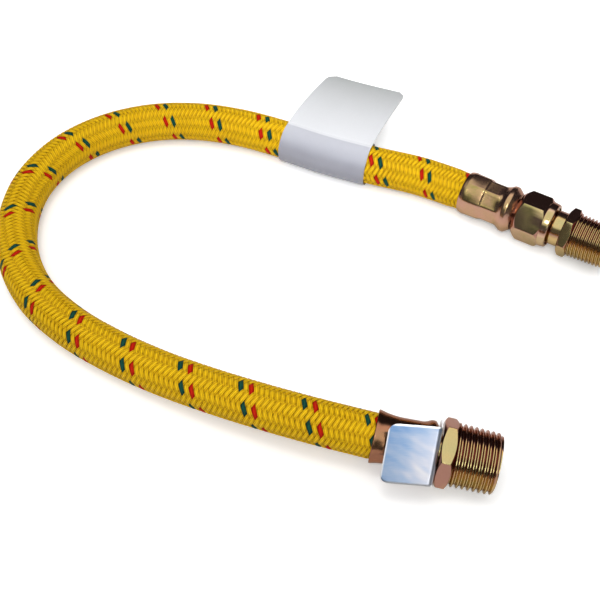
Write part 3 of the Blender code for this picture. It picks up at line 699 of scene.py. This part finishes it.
def paper_material():
    """Coated paper, with painted light: a painted highlight at the fold, painted shade down the hose's side
    and greyer towards the flag's free end.
    """
    material, tree, shader = new_material("label_paper")
    place = object_place(tree)
    strip = add_node(tree, "ShaderNodeUVMap", uv_map="Paper").outputs[0]
    spot = add_node(tree, "ShaderNodeSeparateXYZ", {"Vector": strip})
    down = Value(tree, spot.outputs["Y"])
    fibre = noise(tree, 1500.0, 3.0, 0.6, place)
    cockle = noise(tree, 120.0, 2.0, 0.5, place)
    # Painted light and shade along the strip: dark down the hose's side, a white painted highlight at the
    # fold, greyer towards the free end
    colour = ramp(tree, down + (cockle - 0.5) * 0.03, [
        (0.0, (0.56, 0.57, 0.62)), (0.08, (0.40, 0.41, 0.47)), (0.25, (0.19, 0.19, 0.24)),
        (0.60, (0.46, 0.46, 0.51)), (0.657, (0.66, 0.67, 0.70)), (0.80, (0.56, 0.57, 0.59)),
        (1.0, (0.38, 0.39, 0.39)),
    ])
    colour = mixed(tree, fibre * 0.25, colour, mixed(tree, 1.0, colour, (0.8, 0.8, 0.82), "MULTIPLY"))
    fill(tree, shader, {
        "Base Color": colour,
        "Roughness": 0.30 + fibre * 0.15,
        "Normal": bumped(tree, 0.3, 0.00004, fibre * 0.2 + cockle * 4.0),
        "Coat Weight": 0.3,
        "Coat Roughness": 0.2,
    })
    return material


def rubber_material():
    material, tree, shader = new_material("liner_rubber")
    place = object_place(tree)
    bloom = noise(tree, 500.0, 3.0, 0.6, place)
    fill(tree, shader, {
        "Base Color": mixed(tree, bloom, (0.012, 0.012, 0.013), (0.035, 0.034, 0.033)),
        "Roughness": 0.55 + bloom * 0.25,
        "Normal": bumped(tree, 0.3, 0.00008, bloom),
    })
    return material


FILM = film_group()
gold = plating(
    "gold_plating",
    (0.40, 0.20, 0.15), (0.56, 0.38, 0.16), (0.40, 0.37, 0.17), 110.0, 1.0, 0.16,
)
near_gold = plating(
    "near_ferrule_plating",
    (0.28, 0.12, 0.07), (0.36, 0.155, 0.085), (0.33, 0.19, 0.09), 120.0, 0.9, 0.17,
)
far_gold = plating(
    "far_ferrule_plating",
    (0.50, 0.28, 0.20), (0.47, 0.29, 0.17), (0.28, 0.23, 0.07), 150.0, 1.6, 0.23,
)
nut_gold = plating(
    "nut_plating",
    (0.40, 0.20, 0.15), (0.62, 0.40, 0.27), (0.31, 0.31, 0.08), 110.0, 0.6, 0.14,
)
yarn = yarn_material()
tag_metal = brushed_material()
paper = paper_material()
rubber = rubber_material()


# Meshes

def link(name, mesh):
    obj = bpy.data.objects.new(name, mesh)
    bpy.context.scene.collection.objects.link(obj)
    return obj


def shade(mesh, angle):
    mesh.shade_smooth()
    mesh.set_sharp_from_angle(angle=math.radians(angle))


def mesh_from(work, name, material=None):
    """A new mesh from a bmesh, which is freed."""
    mesh = bpy.data.meshes.new(name)
    work.to_mesh(mesh)
    work.free()
    if material:
        mesh.materials.clear()
        mesh.materials.append(material)
    return mesh


def clean(mesh, distance=1e-6, fill=0):
    """Merges doubles, drops faces without area and closes small holes."""
    work = bmesh.new()
    work.from_mesh(mesh)
    bmesh.ops.remove_doubles(work, verts=work.verts, dist=distance)
    bmesh.ops.dissolve_degenerate(work, edges=work.edges, dist=distance)
    if fill:
        bmesh.ops.holes_fill(work, edges=work.edges, sides=fill)
    work.to_mesh(mesh)
    work.free()
    return mesh


def joined(name, meshes, material=None):
    """One mesh from several, each kept as its own closed shell."""
    work = bmesh.new()
    for mesh in meshes:
        work.from_mesh(mesh)
    return mesh_from(work, name, material)


def loft(name, rows, closed=True):
    """A mesh through rings of points. Each row is an array of (x, y, z), and every row has as many."""
    count = len(rows[0])
    points = np.concatenate(rows)
    faces = []
    pairs = list(zip(range(len(rows)), range(1, len(rows))))
    if closed:
        pairs.append((len(rows) - 1, 0))
    for a, b in pairs:
        for i in range(count):
            j = (i + 1) % count
            faces.append((a * count + i, a * count + j, b * count + j, b * count + i))
    mesh = bpy.data.meshes.new(name)
    mesh.from_pydata([tuple(p) for p in points], [], faces)
    clean(mesh)
    work = bmesh.new()
    work.from_mesh(mesh)
    bmesh.ops.recalc_face_normals(work, faces=work.faces)
    if closed and work.calc_volume(signed=True) < 0:
        bmesh.ops.reverse_faces(work, faces=work.faces)
    work.to_mesh(mesh)
    work.free()
    return mesh


def ring(height, radius, columns):
    """A ring of points about Z. Height and radius may change with the angle."""
    angle = np.linspace(0, TAU, columns, endpoint=False)
    height = np.broadcast_to(height, angle.shape)
    radius = np.broadcast_to(radius, angle.shape)
    return np.stack([radius * np.cos(angle), radius * np.sin(angle), height], axis=1)


def eased(profile, closed):
    """A profile of (height, radius) pairs with each sharp corner turned into a small arc. A third number
    says how far a corner's own arc reaches."""
    pts = [np.array(p[:2], float) for p in profile]
    out = []
    for i, spot in enumerate(pts):
        if not closed and i in (0, len(pts) - 1):
            out.append(spot)
            continue
        own = profile[i][2] if len(profile[i]) > 2 else 0.00012
        before = pts[i - 1] - spot
        after = pts[(i + 1) % len(pts)] - spot
        reach = min(own, np.linalg.norm(before) * 0.45, np.linalg.norm(after) * 0.45)
        if reach < 1e-6:
            out.append(spot)
            continue
        a = spot + before / np.linalg.norm(before) * reach
        b = spot + after / np.linalg.norm(after) * reach
        for t in np.linspace(0, 1, 4):
            out.append((1 - t)**2 * a + 2 * t * (1 - t) * spot + t**2 * b)
    return out


def lathe(name, profile, closed=True):
    """A profile of (height, radius) pairs turned about Z, with eased corners. It is open where its two ends
    meet a thread."""
    return loft(name, [ring(h, r, COLUMNS) for h, r in eased(profile, closed)], closed)


def polar(angle, reach):
    return reach * np.array([math.cos(angle), math.sin(angle)])


def hexagon(name, flats, low, high, turn, bore, low_end=None, high_end=None):
    """A hexagon with rounded corners and turned ends. Each end has its radius at the face, and its run."""
    corner = hex_corner(flats)
    ease = 0.00035
    face = flats / 2 - 0.0002
    chamfered = (face, (corner - face) * math.tan(math.radians(30.0)))
    low_end = low_end or chamfered
    high_end = high_end or chamfered
    centre_reach = corner - ease / math.cos(math.pi / 6)
    outline = []
    for k in range(6):
        middle = turn + math.radians(60 * k)
        for t in np.linspace(-30, 30, 5):
            outline.append(polar(middle, centre_reach) + polar(middle + math.radians(t), ease))
        follow = turn + math.radians(60 * (k + 1))
        end = polar(follow, centre_reach) + polar(follow - math.radians(30), ease)
        start = outline[-1]
        for t in np.linspace(0, 1, 11)[1:-1]:
            outline.append(start + (end - start) * t)
    outline = np.array(outline)
    reach = np.linalg.norm(outline, axis=1)
    away = outline / reach[:, None]

    def row(radius, height):
        radius = np.broadcast_to(radius, reach.shape)
        height = np.broadcast_to(height, reach.shape)
        return np.column_stack([away * radius[:, None], height])

    def turned_run(end):
        face_radius, run = end
        return run * (reach - face_radius) / (corner - face_radius)

    low_run = turned_run(low_end)
    high_run = turned_run(high_end)
    rows = [
        row(bore, low),
        row(low_end[0], low),
        row(low_end[0] * 0.5 + reach * 0.5, low + low_run * 0.5),
        row(reach, low + low_run),
        row(reach, (low + high) / 2),
        row(reach, high - high_run),
        row(high_end[0] * 0.5 + reach * 0.5, high - high_run * 0.5),
        row(high_end[0], high),
        row(bore, high),
    ]
    obj = link(name, loft(name, rows))
    mesh = bevelled(obj, 0.00014)
    bpy.data.objects.remove(obj)
    return mesh


def finished(name, meshes, material, matrix):
    """One piece from its shells, put in its place. Each corner of its faces stores painted light and
    reflection for the colour film: how far it turns to olive, by how far the face points one fixed way or
    downwards; downward faces turn sooner on the first shell, the turned one, where there are more."""
    mesh = joined(name, meshes, material)
    shade(mesh, 35)
    mesh.transform(matrix)
    normals = np.array([corner.vector[:] for corner in mesh.corner_normals])
    # Painted light: faces towards the fixed direction, or facing down, get the olive end of the film
    side = np.clip((normals @ np.array(PAINTED_OLIVE_FACING) - 0.76) / 0.18, 0, 1)
    low = np.full(len(normals), 0.4)
    if len(meshes) > 1:
        low[:len(meshes[0].loops)] = 1.3
    side = np.maximum(side, 0.8 * np.clip(low - 3 * normals[:, 2], 0, 1))
    made = mesh.attributes.new("painted_light_side", "FLOAT", "CORNER")
    made.data.foreach_set("value", side.astype(np.float32))
    return link(name, mesh)


def bevelled(obj, width, segments=2, angle=28):
    """The object's mesh with its sharp edges eased."""
    bevel = obj.modifiers.new("eased_edges", "BEVEL")
    bevel.width = width
    bevel.segments = segments
    bevel.limit_method = "ANGLE"
    bevel.angle_limit = math.radians(angle)
    bevel.harden_normals = False
    mesh = evaluated_mesh(obj)
    obj.modifiers.clear()
    return mesh


# The hose itself

def whole_line():
    """The hose's middle line from its cut end in one ferrule to its cut end in the other."""

    def inside(matrix, start, end):
        return [out_of(matrix, d) for d in np.linspace(start, end, 8)]

    return np.vstack([
        inside(NEAR, HOSE_END_AT, SQUEEZE_LENGTH),
        inside(NEAR, SQUEEZE_LENGTH, 0.0)[1:-1],
        FREE_LINE,
        inside(FAR, 0.0, SQUEEZE_LENGTH)[1:-1],
        inside(FAR, SQUEEZE_LENGTH, HOSE_END_AT),
    ])


HOSE_LINE = whole_line()


def hose_host():
    """The hose's line as a mesh, with what the braid needs at each point."""
    line = HOSE_LINE
    at = length_along(line) - HOSE_END_AT
    far_at = at - FREE_LENGTH
    near_squeeze = np.clip(-at / SQUEEZE_LENGTH, 0, 1)
    far_squeeze = np.clip((far_at + SQUEEZE_LENGTH) / (2 * SQUEEZE_LENGTH), 0, 1)
    squeeze = np.maximum(near_squeeze, far_squeeze)
    radius = HOSE_RADIUS + (CRIMPED_RADIUS - HOSE_RADIUS) * squeeze
    crossings = np.array([(mm / 1000, k - 2) for k, mm in enumerate(RED_ON_TOP)])
    fine = smooth_line(crossings, 8)
    turn = np.interp(at, fine[:, 0], fine[:, 1])
    steady = np.interp(at, fine[:, 0], np.gradient(fine[:, 0], fine[:, 1]))
    places, degrees = np.array(COLUMNS_TURN).T
    columns = np.radians(np.interp(at, places / 1000, degrees))

    values = {"turn": turn, "lay": steady, "radius": radius, "columns": columns}
    mesh = bpy.data.meshes.new("hose_line")
    mesh.from_pydata([tuple(p) for p in line], [(k, k + 1) for k in range(len(line) - 1)], [])
    for name, numbers in values.items():
        made = mesh.attributes.new(name, "FLOAT", "POINT")
        made.data.foreach_set("value", numbers.astype(np.float32))
    return link("hose_line", mesh), float(turn[-1] - turn[0])


def make_braid():
    """The two families of strands. They lie in one another, so each is a piece of its own."""
    tree = braid_tree()
    host, turns = hose_host()
    samples = int(turns * CARRIERS / 2 * SAMPLES_PER_WAVE)
    pieces = []
    for name, hand in (("braid_right_lay", 1.0), ("braid_left_lay", -1.0)):
        mesh = run_tree(
            host, tree, carriers=CARRIERS, samples=samples, sides=STRAND_SIDES, hand=hand, top=TOP_OF_HOSE,
            thickness=STRAND_THICKNESS, depth=WEAVE_DEPTH, material=yarn,
        )
        pieces.append(link(name, clean(mesh, fill=STRAND_SIDES)))
    bpy.data.objects.remove(host)
    return pieces


# Fittings: each is made along Z from its ferrule's mouth, then put in its frame

THREADS = thread_tree()
AT_NUT = FAR @ Matrix.Translation((0, 0, NUT_START))


def thread(name, length, radius, pitch, taper, end_radius, at, depth):
    host = link(name, bpy.data.meshes.new(name))
    mesh = run_tree(
        host, THREADS, columns=COLUMNS, pitch=pitch, length=length, radius=radius, taper=taper,
        depth=depth, end_radius=end_radius, material=gold,
    )
    bpy.data.objects.remove(host)
    mesh.transform(Matrix.Translation((0, 0, at)))
    return mesh


def pipe_thread(name, radius, pitch, turns, at):
    """A pipe thread from at outwards, its root radius there, and the tip's place and root radius."""
    length = (turns + 0.5) * pitch
    depth = THREAD_DEPTH * pitch
    end_radius = radius - PIPE_TAPER * turns * pitch - pitch / 2
    screw = thread(name, length, radius, pitch, PIPE_TAPER, end_radius, at, depth)
    return screw, radius - depth, at + length, radius - PIPE_TAPER * length - depth


def barbs(shoulder):
    """The outer side of the barbed stem inside the hose, in order of falling height."""
    pairs = [(shoulder, NECK_RADIUS), (shoulder, STEM_RADIUS)]
    for k in (2, 1, 0):
        top = STEM_START + (k + 1) * BARB_PITCH
        pairs += [(top, STEM_RADIUS), (top - GAP, BARB_RADIUS), (top - BARB_PITCH * 0.7, STEM_RADIUS)]
    return pairs + [(STEM_START, STEM_RADIUS - GAP)]


def make_nipple():
    thread_at = NIPPLE_HEX_AT + NIPPLE_HEX_LENGTH
    screw, root, tip, tip_root = pipe_thread(
        "nipple_thread", HALF_INCH_RADIUS, HALF_INCH_PITCH, HALF_INCH_THREADS, thread_at
    )
    bore_end = tip - NIPPLE_BORE_DEPTH
    profile = [
        (thread_at, root),
        (NIPPLE_HEX_AT + GAP, root),
        (NIPPLE_HEX_AT + GAP, NECK_RADIUS),
        *barbs(HOSE_END_AT + GAP),
        (STEM_START, STEM_BORE_RADIUS),
        (bore_end, STEM_BORE_RADIUS),
        (bore_end + NIPPLE_BORE_RADIUS - STEM_BORE_RADIUS, NIPPLE_BORE_RADIUS),
        (tip - 0.0004, NIPPLE_BORE_RADIUS),
        (tip, NIPPLE_BORE_RADIUS + 0.0004),
        (tip, tip_root),
    ]
    whole = clean(joined("nipple_turned", [lathe("nipple_body", profile, closed=False), screw]), 3e-6)
    prism = hexagon(
        "nipple_hexagon", NIPPLE_HEX_FLATS, NIPPLE_HEX_AT, thread_at, NIPPLE_HEX_TURN, NECK_RADIUS + 0.0006
    )
    return finished("pipe_nipple_turned", [whole, prism], gold, NEAR)


def make_near_ferrule():
    lip = NECK_RADIUS + GAP
    lip_at = HOSE_END_AT + GAP
    profile = [
        (NEAR_FERRULE_LENGTH, lip), (NEAR_FERRULE_LENGTH, 0.0078, 0.0006),
        (0.0188, 0.0094, 0.0005), (0.0174, 0.0094, 0.0005), (0.0154, 0.0083, 0.0014),
        (0.0130, 0.0082, 0.0012), (0.0065, 0.0079, 0.0020), (0.0026, 0.0084, 0.0014),
        (0.0003, 0.0090, 0.0003), (0.0, 0.0088, 0.0001), (0.0, HOSE_RADIUS + 2 * GAP, 0.0001),
        (SQUEEZE_LENGTH, CRIMPED_RADIUS + GAP, 0.0010), (lip_at, CRIMPED_RADIUS + GAP), (lip_at, lip),
    ]
    return finished("near_ferrule_crimped", [lathe("near_ferrule_turned", profile)], near_gold, NEAR)


def make_far_ferrule():
    """An eight-jaw crimp: the jaws leave flats on the band and the waist, and ridges between them."""
    columns = 160
    angle = np.linspace(0, TAU, columns, endpoint=False)
    jaw = TAU / 8
    from_flat = (angle + jaw / 2) % jaw - jaw / 2
    ridge = np.exp(-((jaw / 2 - np.abs(from_flat)) / 0.06)**2)
    lip = NECK_RADIUS + GAP
    lip_at = HOSE_END_AT + GAP
    mouth_bore = (HOSE_RADIUS + CRIMPED_RADIUS) / 2 + GAP
    outer = [
        (FAR_FERRULE_LENGTH, lip, 0), (FAR_FERRULE_LENGTH, 0.0074, 0),
        (0.0202, 0.0089, 0), (0.0198, 0.0092, 0),
        (0.0190, 0.00925, 0), (0.0182, 0.0092, 0), (0.0176, 0.0088, 0), (0.0164, 0.0081, 0.1),
        (0.0155, 0.00785, 0.5), (0.0151, 0.00768, 1.0), (0.0126, 0.00764, 1.0), (0.0098, 0.00768, 1.0),
        (0.0095, 0.00772, 1.0), (0.0088, 0.00822, 0.8), (0.0085, 0.00828, 0.8), (0.0056, 0.00836, 0.7),
        (0.0030, 0.00846, 0.5), (0.0020, 0.0086, 0.1), (0.0014, 0.0085, 0), (0.0006, 0.0083, 0),
        (0.0001, 0.0081, 0), (0.0, 0.0079, 0),
    ]
    inner = [
        (0.0, mouth_bore, 0), (SQUEEZE_LENGTH, CRIMPED_RADIUS + GAP, 0),
        (lip_at, CRIMPED_RADIUS + GAP, 0), (lip_at, lip, 0),
    ]
    rows = []
    outer_fine = []
    for (h0, r0, k0), (h1, r1, k1) in zip(outer, outer[1:]):
        for t in (0.0, 0.5):
            outer_fine.append((h0 + (h1 - h0) * t, r0 + (r1 - r0) * t, k0 + (k1 - k0) * t))
    outer_fine.append(outer[-1])
    for height, radius, pressed in outer_fine + inner:
        flat = radius / np.cos(from_flat)
        shaped = np.minimum(flat, radius * 1.055) + 0.00012 * ridge
        rows.append(ring(height, radius + (shaped - radius) * pressed, columns))
    mesh = loft("far_ferrule_pressed", rows)
    return finished("far_ferrule_crimped", [mesh], far_gold, FAR)


def make_nut():
    inside = COUPLING_RADIUS + GAP
    neck_hole = NECK_RADIUS + GAP
    body = lathe("nut_body", [
        (0.0142, inside),
        (0.0142, 0.0086, 0.0005),
        (0.0112, 0.0090, 0.0004),
        (0.0100, 0.0080),
        (0.0003, 0.0078),
        (0.0003, neck_hole),
        (NUT_WALL, neck_hole),
        (NUT_WALL, inside),
    ])
    prism = hexagon(
        "nut_hexagon", NUT_FLATS, 0.0, 0.0112, NUT_HEX_TURN, neck_hole,
        (0.0080, NUT_BACK_RUN), (0.0090, 0.0012),
    )
    return finished("swivel_nut_hexagon", [body, prism], nut_gold, AT_NUT)


def make_adapter():
    hex_at = ADAPTER_HEX_AT - NUT_START
    thread_at = hex_at + ADAPTER_HEX_LENGTH
    screw, root, tip, tip_root = pipe_thread(
        "adapter_thread", THREE_EIGHTHS_RADIUS, THREE_EIGHTHS_PITCH, THREE_EIGHTHS_THREADS, thread_at
    )
    nose_at = 0.0065406
    cone_end = 0.0095132
    coupling_end = cone_end + 0.0045
    coupling_root = COUPLING_RADIUS - 0.0007
    bore_end = tip - ADAPTER_BORE_DEPTH
    bore = STEM_BORE_RADIUS + GAP
    front = lathe("adapter_front", [
        (thread_at, root),
        (hex_at + GAP, root),
        (hex_at + GAP, 0.0068),
        (coupling_end + 0.0012, 0.0068, 0.0004),
        (coupling_end, coupling_root),
    ], closed=False)
    back = lathe("adapter_back", [
        (cone_end, coupling_root),
        (nose_at, NOSE_TIP_RADIUS),
        (nose_at, bore),
        (bore_end, bore),
        (bore_end + ADAPTER_BORE_RADIUS - bore, ADAPTER_BORE_RADIUS),
        (tip - 0.0003, ADAPTER_BORE_RADIUS),
        (tip, ADAPTER_BORE_RADIUS + 0.0003),
        (tip, tip_root),
    ], closed=False)
    coupling = thread(
        "coupling_thread", 0.0045, COUPLING_RADIUS, THREE_EIGHTHS_PITCH, 0.0,
        COUPLING_RADIUS, cone_end, 0.0007,
    )
    whole = clean(joined("adapter_turned", [front, back, screw, coupling]), 3e-6)
    prism = hexagon("adapter_hexagon", ADAPTER_FLATS, hex_at, thread_at, ADAPTER_HEX_TURN, 0.0062)
    return finished("pipe_adapter_turned", [whole, prism], gold, AT_NUT)


def quads(grid):
    """The four corners of each cell in a grid of vertices."""
    for a, b in zip(grid, grid[1:]):
        for i in range(len(a) - 1):
            yield a[i], a[i + 1], b[i + 1], b[i]


# The tag: a plate beside the hose and a short leg behind the ferrule, bent from one strip

def corner_inset(corner, from_end):
    """How far a rounded corner draws a strip's side in."""
    if from_end >= corner:
        return 0.0
    return corner - math.sqrt(max(0.0, corner**2 - (corner - from_end)**2))


def rounded_strip(length, half, low_corner, high_corner, steps_long, steps_across):
    """Rows of (along, across) over a strip with rounded ends, low at 0 and high at length."""
    at = np.unique(np.concatenate([
        low_corner * (1 - np.cos(np.linspace(0, math.pi / 2, 7))),
        np.linspace(low_corner, length - high_corner, steps_long),
        length - high_corner * (1 - np.sin(np.linspace(0, math.pi / 2, 7))),
    ]).round(7))
    rows = []
    for u in at:
        inset = max(corner_inset(low_corner, u), corner_inset(high_corner, length - u))
        rows.append([(u, v) for v in np.linspace(-(half - inset), half - inset, steps_across)])
    return rows


def make_tag():
    inner = TAG_BEND_RADIUS
    plate = TAG_LENGTH - inner
    bend = inner * math.pi / 2
    leg = TAG_FLANGE_DEPTH - inner
    total = plate + bend + leg
    half = TAG_WIDTH / 2
    columns = 25
    rows = rounded_strip(total, half, TAG_CORNER, TAG_FLANGE_CORNER, 46, columns)
    work = bmesh.new()
    along_layer = work.verts.layers.float.new("tag_along")
    across_layer = work.verts.layers.float.new("tag_across")
    grid = []
    for row in rows:
        made = []
        for u, v in row:
            if u < plate:
                out, length = 0.0, -TAG_LENGTH + u
            elif u < plate + bend:
                a = (u - plate) / inner
                out, length = -inner + inner * math.cos(a), -inner + inner * math.sin(a)
            else:
                out, length = -inner - (u - plate - bend), 0.0
            made.append(work.verts.new((out, v + TAG_SHEAR * max(0.0, -length - inner), length)))
            made[-1][along_layer] = u * 1000
            made[-1][across_layer] = v * 1000
        grid.append(made)
    for corners in quads(grid):
        work.faces.new(corners)
    hole = Vector((-TAG_STAND_OFF, -TAG_DROP, 0.0))
    inside = [
        face for face in work.faces
        if (face.calc_center_median() - hole).length < NECK_RADIUS + 0.0004
    ]
    bmesh.ops.delete(work, geom=inside, context="FACES")
    for edge in work.edges:
        if edge.is_boundary:
            for vertex in edge.verts:
                off = vertex.co - hole
                if off.length < NECK_RADIUS + 0.0016:
                    vertex.co = hole + off.normalized() * (NECK_RADIUS + 0.0004)
    bmesh.ops.recalc_face_normals(work, faces=work.faces)
    tag = link("id_tag_sheet", mesh_from(work, "id_tag_sheet", tag_metal))
    wall = tag.modifiers.new("sheet", "SOLIDIFY")
    wall.thickness = TAG_THICKNESS
    wall.offset = 0.0
    wall.use_even_offset = True
    tag.data = bevelled(tag, 0.00011, 2, 40)
    shade(tag.data, 30)
    turn = Matrix.Translation((0, 0, NEAR_FERRULE_LENGTH + TAG_SLOT / 2))
    turn = turn @ Matrix.Rotation(TAG_FACING, 4, "Z") @ Matrix.Rotation(TAG_LEAN, 4, "X")
    tag.data.transform(NEAR @ turn @ Matrix.Translation((TAG_STAND_OFF, TAG_DROP, 0.0)))
    return tag


# The label: one strip of paper round the hose, its two ends glued together as a flag

def make_label():
    clear = HOSE_RADIUS + 0.00035
    outer = clear + LABEL_THICKNESS
    steps = 18
    flap = [Vector(polar(LABEL_ROOT, outer))]
    heading = LABEL_HEADING
    for _ in range(steps):
        flap.append(flap[-1] + Vector(polar(heading, 1.0)) * LABEL_FLAP / steps)
        heading -= LABEL_CURL / steps
    sides = np.linspace(LABEL_ROOT - TAU + 0.06, LABEL_ROOT, 56)
    around = [Vector(polar(angle, outer)) for angle in sides]
    section = [*around, *flap[1:]]
    run = np.concatenate([[0], np.cumsum([(b - a).length for a, b in zip(section, section[1:])])])
    end = run[-1]

    line = FREE_LINE[::-1]
    line_run = length_along(line)

    def hose_at(distance):
        return Vector([float(np.interp(distance, line_run, line[:, k])) for k in range(3)])

    def bent(x, y, z):
        reach = max(0.0, math.hypot(x, y) - outer)
        spot = LABEL_AT - z - LABEL_SKEW * reach
        way = hose_at(spot - 0.006) - hose_at(spot + 0.006)
        back = Vector((-way.y, way.x, 0.0)).normalized()
        up = way.cross(back).normalized()
        return hose_at(spot) + back * x + up * y

    across = 25
    meshes = []
    for name, start, sink in (("upper", 0, 0.0), ("under", len(around) - 1, -LABEL_THICKNESS)):
        work = bmesh.new()
        map_layer = work.loops.layers.uv.new("Paper")
        grid = []
        for k in range(start, len(section)):
            spot = section[k]
            before = section[max(k - 1, 0)]
            after = section[min(k + 1, len(section) - 1)]
            way = (after - before).normalized()
            normal = Vector((-way.y, way.x))
            spot = spot + normal * sink
            if sink and k == start:
                spot = section[0]
            half = LABEL_WIDTH / 2 - corner_inset(LABEL_CORNER, end - run[k])
            grid.append([
                (work.verts.new(bent(spot.x, spot.y, z)), (z / LABEL_WIDTH + 0.5, run[k] / end))
                for z in np.linspace(-half, half, across)
            ])
        for corners in quads(grid):
            face = work.faces.new([vertex for vertex, _ in corners])
            for loop, (_, on_strip) in zip(face.loops, corners):
                loop[map_layer].uv = on_strip
        piece = link(name, mesh_from(work, name))
        wall = piece.modifiers.new("paper", "SOLIDIFY")
        wall.thickness = LABEL_THICKNESS * 0.9
        wall.offset = 0.0
        meshes.append(evaluated_mesh(piece))
        bpy.data.objects.remove(piece)
    whole = joined("paper_label_flag", meshes, paper)
    shade(whole, 40)
    return link("paper_label_flag", whole)


braid_right, braid_left = make_braid()
nipple = make_nipple()
near_ferrule = make_near_ferrule()
far_ferrule = make_far_ferrule()
nut = make_nut()
adapter = make_adapter()
tag = make_tag()
label = make_label()

for piece, node, body, slot in (
    (braid_right, "braid_cover", "root", "braid"),
    (braid_left, "braid_cover", "root", "braid"),
    (nipple, "pipe_nipple", "root", "zinc_plated_steel"),
    (near_ferrule, "near_ferrule", "root", "zinc_plated_steel"),
    (far_ferrule, "far_ferrule", "root", "zinc_plated_steel"),
    (nut, "swivel_nut", "nut", "zinc_plated_steel"),
    (adapter, "pipe_adapter", "adapter", "zinc_plated_steel"),
    (tag, "id_tag", "root", "tag_metal"),
    (label, "paper_label", "root", "label_paper"),
):
    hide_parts(node)
    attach(piece, body)

for node, material in (("inner_tube", rubber), ("swivel_stem", gold)):
    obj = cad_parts[node]
    obj.data.materials.clear()
    obj.data.materials.append(material)

tuple(out_of(NEAR, 0.0))


# The floor and the light

# How much the floor glows by itself where the camera sees it, and in glossy reflections as a share of that
FLOOR_LIFT = 0.35
FLOOR_LIFT_IN_GLOSS = 0.3
FLOOR_HALF_WIDTH = 3.0


def make_floor():
    material, tree, shader = new_material("pale_floor")
    place = object_place(tree)
    grain = noise(tree, 400.0, 2.0, 0.5, place)
    ray = add_node(tree, "ShaderNodeLightPath")
    seen = Value(tree, ray.outputs["Is Camera Ray"]).math("MAXIMUM", ray.outputs["Is Transmission Ray"])
    seen = seen.math("MAXIMUM", Value(tree, ray.outputs["Is Glossy Ray"]) * FLOOR_LIFT_IN_GLOSS)
    fill(tree, shader, {
        "Base Color": mixed(tree, grain, (0.84, 0.84, 0.84), (0.87, 0.87, 0.87)),
        "Roughness": 0.9,
        "Emission Color": (1.0, 1.0, 1.0),
        "Emission Strength": seen * FLOOR_LIFT,
    })
    work = bmesh.new()
    bmesh.ops.create_grid(work, x_segments=1, y_segments=1, size=FLOOR_HALF_WIDTH)
    link("floor", mesh_from(work, "floor", material))


def lamp(name, place, target, size, power, spread=180.0, in_reflections=True):
    data = bpy.data.lights.new(name, "AREA")
    data.shape = "RECTANGLE"
    data.size, data.size_y = size
    data.energy = power
    data.spread = math.radians(spread)
    obj = bpy.data.objects.new(name, data)
    obj.location = place
    obj.rotation_euler = (Vector(target) - Vector(place)).to_track_quat("-Z", "Y").to_euler()
    obj.visible_glossy = in_reflections
    bpy.context.scene.collection.objects.link(obj)


SOFTBOX_TILT = math.radians(8.0)
SOFTBOX_CORE = math.radians(40.0)
SOFTBOX_EDGE = math.radians(50.0)


def make_world():
    world = bpy.data.worlds.new("studio")
    world.use_nodes = True
    bpy.context.scene.world = world
    tree = world.node_tree
    background = tree.nodes["Background"]
    way = add_node(tree, "ShaderNodeTexCoord").outputs["Generated"]
    towards = Vector((0.0, -math.sin(SOFTBOX_TILT), math.cos(SOFTBOX_TILT)))
    facing = add_node(tree, "ShaderNodeVectorMath", {0: way, 1: tuple(towards)}, operation="DOT_PRODUCT")
    panel = between(tree, facing.outputs["Value"], math.cos(SOFTBOX_EDGE), math.cos(SOFTBOX_CORE))
    room = add_node(tree, "ShaderNodeSeparateXYZ", {"Vector": way}).outputs["Y"]
    front = between(tree, room, 0.1, -0.6)
    dark = mixed(tree, front, (0.03, 0.03, 0.035), (0.09, 0.09, 0.09))
    sky = mixed(tree, panel, dark, (1.0, 1.0, 1.0))
    seen = add_node(tree, "ShaderNodeLightPath").outputs["Is Camera Ray"]
    fill(tree, background, {"Color": mixed(tree, seen, sky, (1.0, 1.0, 1.0)), "Strength": 1.45})


make_floor()
make_world()
lamp("key", (-0.10, -0.12, 0.85), (-0.05, 0.0, 0.0), (0.22, 0.22), 1.4, in_reflections=False)
lamp("far_fill", (-0.03, -0.25, 0.45), (-0.075, 0.09, 0.0), (0.10, 0.10), 0.036, spread=30.0)
lamp("front", (0.12, -0.70, 0.42), (0.0, 0.0, 0.0), (0.15, 0.20), 0.28)
